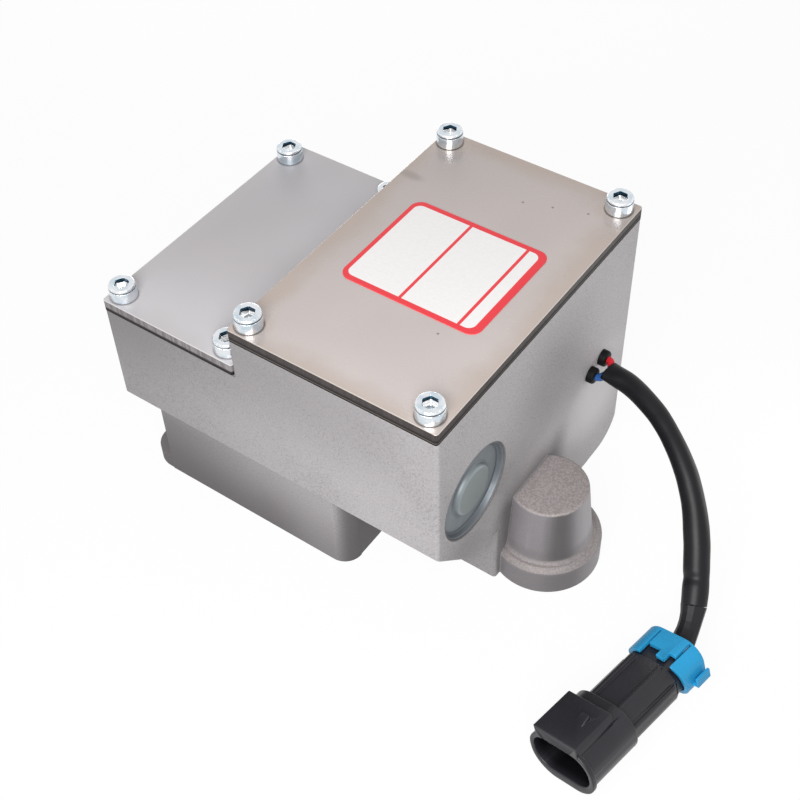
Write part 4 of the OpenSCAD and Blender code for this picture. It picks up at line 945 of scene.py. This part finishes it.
def makeSleeve():
    # Rings square to the route; flat at the mouth where the leads enter, round further on
    t = sleeve
    path = smoothPath(np.array(t["route"]) * millimetre, t["rings"])
    tangent, across, up = carriedFrames(path, (0, 1, 0))
    s = np.linspace(0, 1, len(path))[:, None]
    angle = ringAngles(t["sides"])[None, :]
    mouth = np.exp(-(s / t["mouthLength"]) ** 2)
    swell = np.interp(s, t["swellAt"], t["swell"])
    halfWide = swell + (t["mouthHalfWidth"] - t["radius"]) * mouth
    halfHigh = swell + (t["mouthHalfHeight"] - t["radius"]) * mouth
    dentSide = (0.5 + 0.5 * np.cos(angle - t["dentSide"])) ** 2
    dent = np.exp(-((s - t["dentAt"]) / t["dentLength"]) ** 2) * dentSide
    wave = np.sin(t["ripples"] * s + t["rippleTwist"] * np.sin(angle)) * (s > t["rippleFrom"])
    ripple = 1 - t["dentDepth"] * dent + t["rippleHeight"] * wave
    wide = (halfWide * np.cos(angle) * ripple * millimetre)[..., None]
    high = (halfHigh * np.sin(angle) * ripple * millimetre)[..., None]
    grid = path[:, None, :] + wide * across[:, None, :] + high * up[:, None, :]
    piece = tubePiece("wireSleeve", grid)
    dress(piece, "wire_sleeve")
    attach(piece, "casting")
    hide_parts("wire_sleeve")


makeSleeve()


# Floor, world and lamps

studio = {
    "floor": 0.9, "bounce": 0.35, "shadowShare": 0.06, "world": 0.34, "floorHalf": 4.0,
    "key": {"place": (0.2, -0.4, 0.4), "size": 0.35, "power": 3.4, "aim": (0.02, 0, 0.06)},
    "side": {"place": (0.17, 0.1, 0.05), "size": 0.08, "power": 0.035, "aim": (0.07, 0.02, 0.04)},
    "rear": {"place": (-0.45, 0.5, 0.12), "size": 0.4, "power": 1.6, "aim": (0, 0, 0.06)},
    "seeingRays": ("Is Camera Ray", "Is Glossy Ray", "Is Transmission Ray"),
}


def seesBackground(tree):
    # 1 for each kind of ray that sees the pale background
    rays = tree.nodes.new("ShaderNodeLightPath")
    seen, *others = [rays.outputs[name] for name in studio["seeingRays"]]
    for other in others:
        most = tree.nodes.new("ShaderNodeMath")
        most.operation = "MAXIMUM"
        tree.links.new(seen, most.inputs[0])
        tree.links.new(other, most.inputs[1])
        seen = most.outputs[0]
    return seen


def makeFloor():
    h = studio["floorHalf"]
    piece = newPiece("floor", [(-h, -h, 0), (h, -h, 0), (h, h, 0), (-h, h, 0)], [[0, 1, 2, 3]])
    look = Look("paleFloor", Roughness=1.0, Specular_IOR_Level=0.0)
    seen = Value(look, seesBackground(look.tree))
    look.set(Base_Color=look.mix(seen, (studio["bounce"],) * 3, (studio["floor"],) * 3))
    glow = look.tree.nodes.new("ShaderNodeEmission")
    mixed = look.tree.nodes.new("ShaderNodeMixShader")
    look.put(mixed, 0, seen * (1 - studio["shadowShare"]))
    look.tree.links.new(look.shader.outputs[0], mixed.inputs[1])
    look.tree.links.new(glow.outputs[0], mixed.inputs[2])
    look.tree.links.new(mixed.outputs[0], look.out.inputs[0])
    piece.data.materials.append(look.material)


def makeWorld():
    # White where it is seen, and dimmer as a light
    world = bpy.data.worlds.new("studio")
    scene.world = world
    world.use_nodes = True
    tree = world.node_tree
    tree.nodes.clear()
    kinds = ("ShaderNodeBackground", "ShaderNodeBackground", "ShaderNodeMixShader")
    plain, white, mixed = [tree.nodes.new(kind) for kind in kinds]
    for background in (plain, white):
        background.inputs[0].default_value = (1, 1, 1, 1)
    plain.inputs[1].default_value = studio["world"]
    tree.links.new(seesBackground(tree), mixed.inputs[0])
    tree.links.new(plain.outputs[0], mixed.inputs[1])
    tree.links.new(white.outputs[0], mixed.inputs[2])
    out = tree.nodes.new("ShaderNodeOutputWorld")
    tree.links.new(mixed.outputs[0], out.inputs[0])


def makeLamp(name, lamp):
    data = bpy.data.lights.new(name, "AREA")
    data.size, data.energy = lamp["size"], lamp["power"]
    made = bpy.data.objects.new(name, data)
    made.visible_camera = False
    aim = Vector(lamp["aim"]) - Vector(lamp["place"])
    turn = aim.to_track_quat("-Z", "Y").to_matrix().to_4x4()
    made.matrix_world = Matrix.Translation(lamp["place"]) @ turn
    scene.collection.objects.link(made)


makeFloor()
makeWorld()
for lampName in ("key", "side", "rear"):
    makeLamp(lampName, studio[lampName])
scene.view_settings.view_transform = "Standard"
print("studio ready")
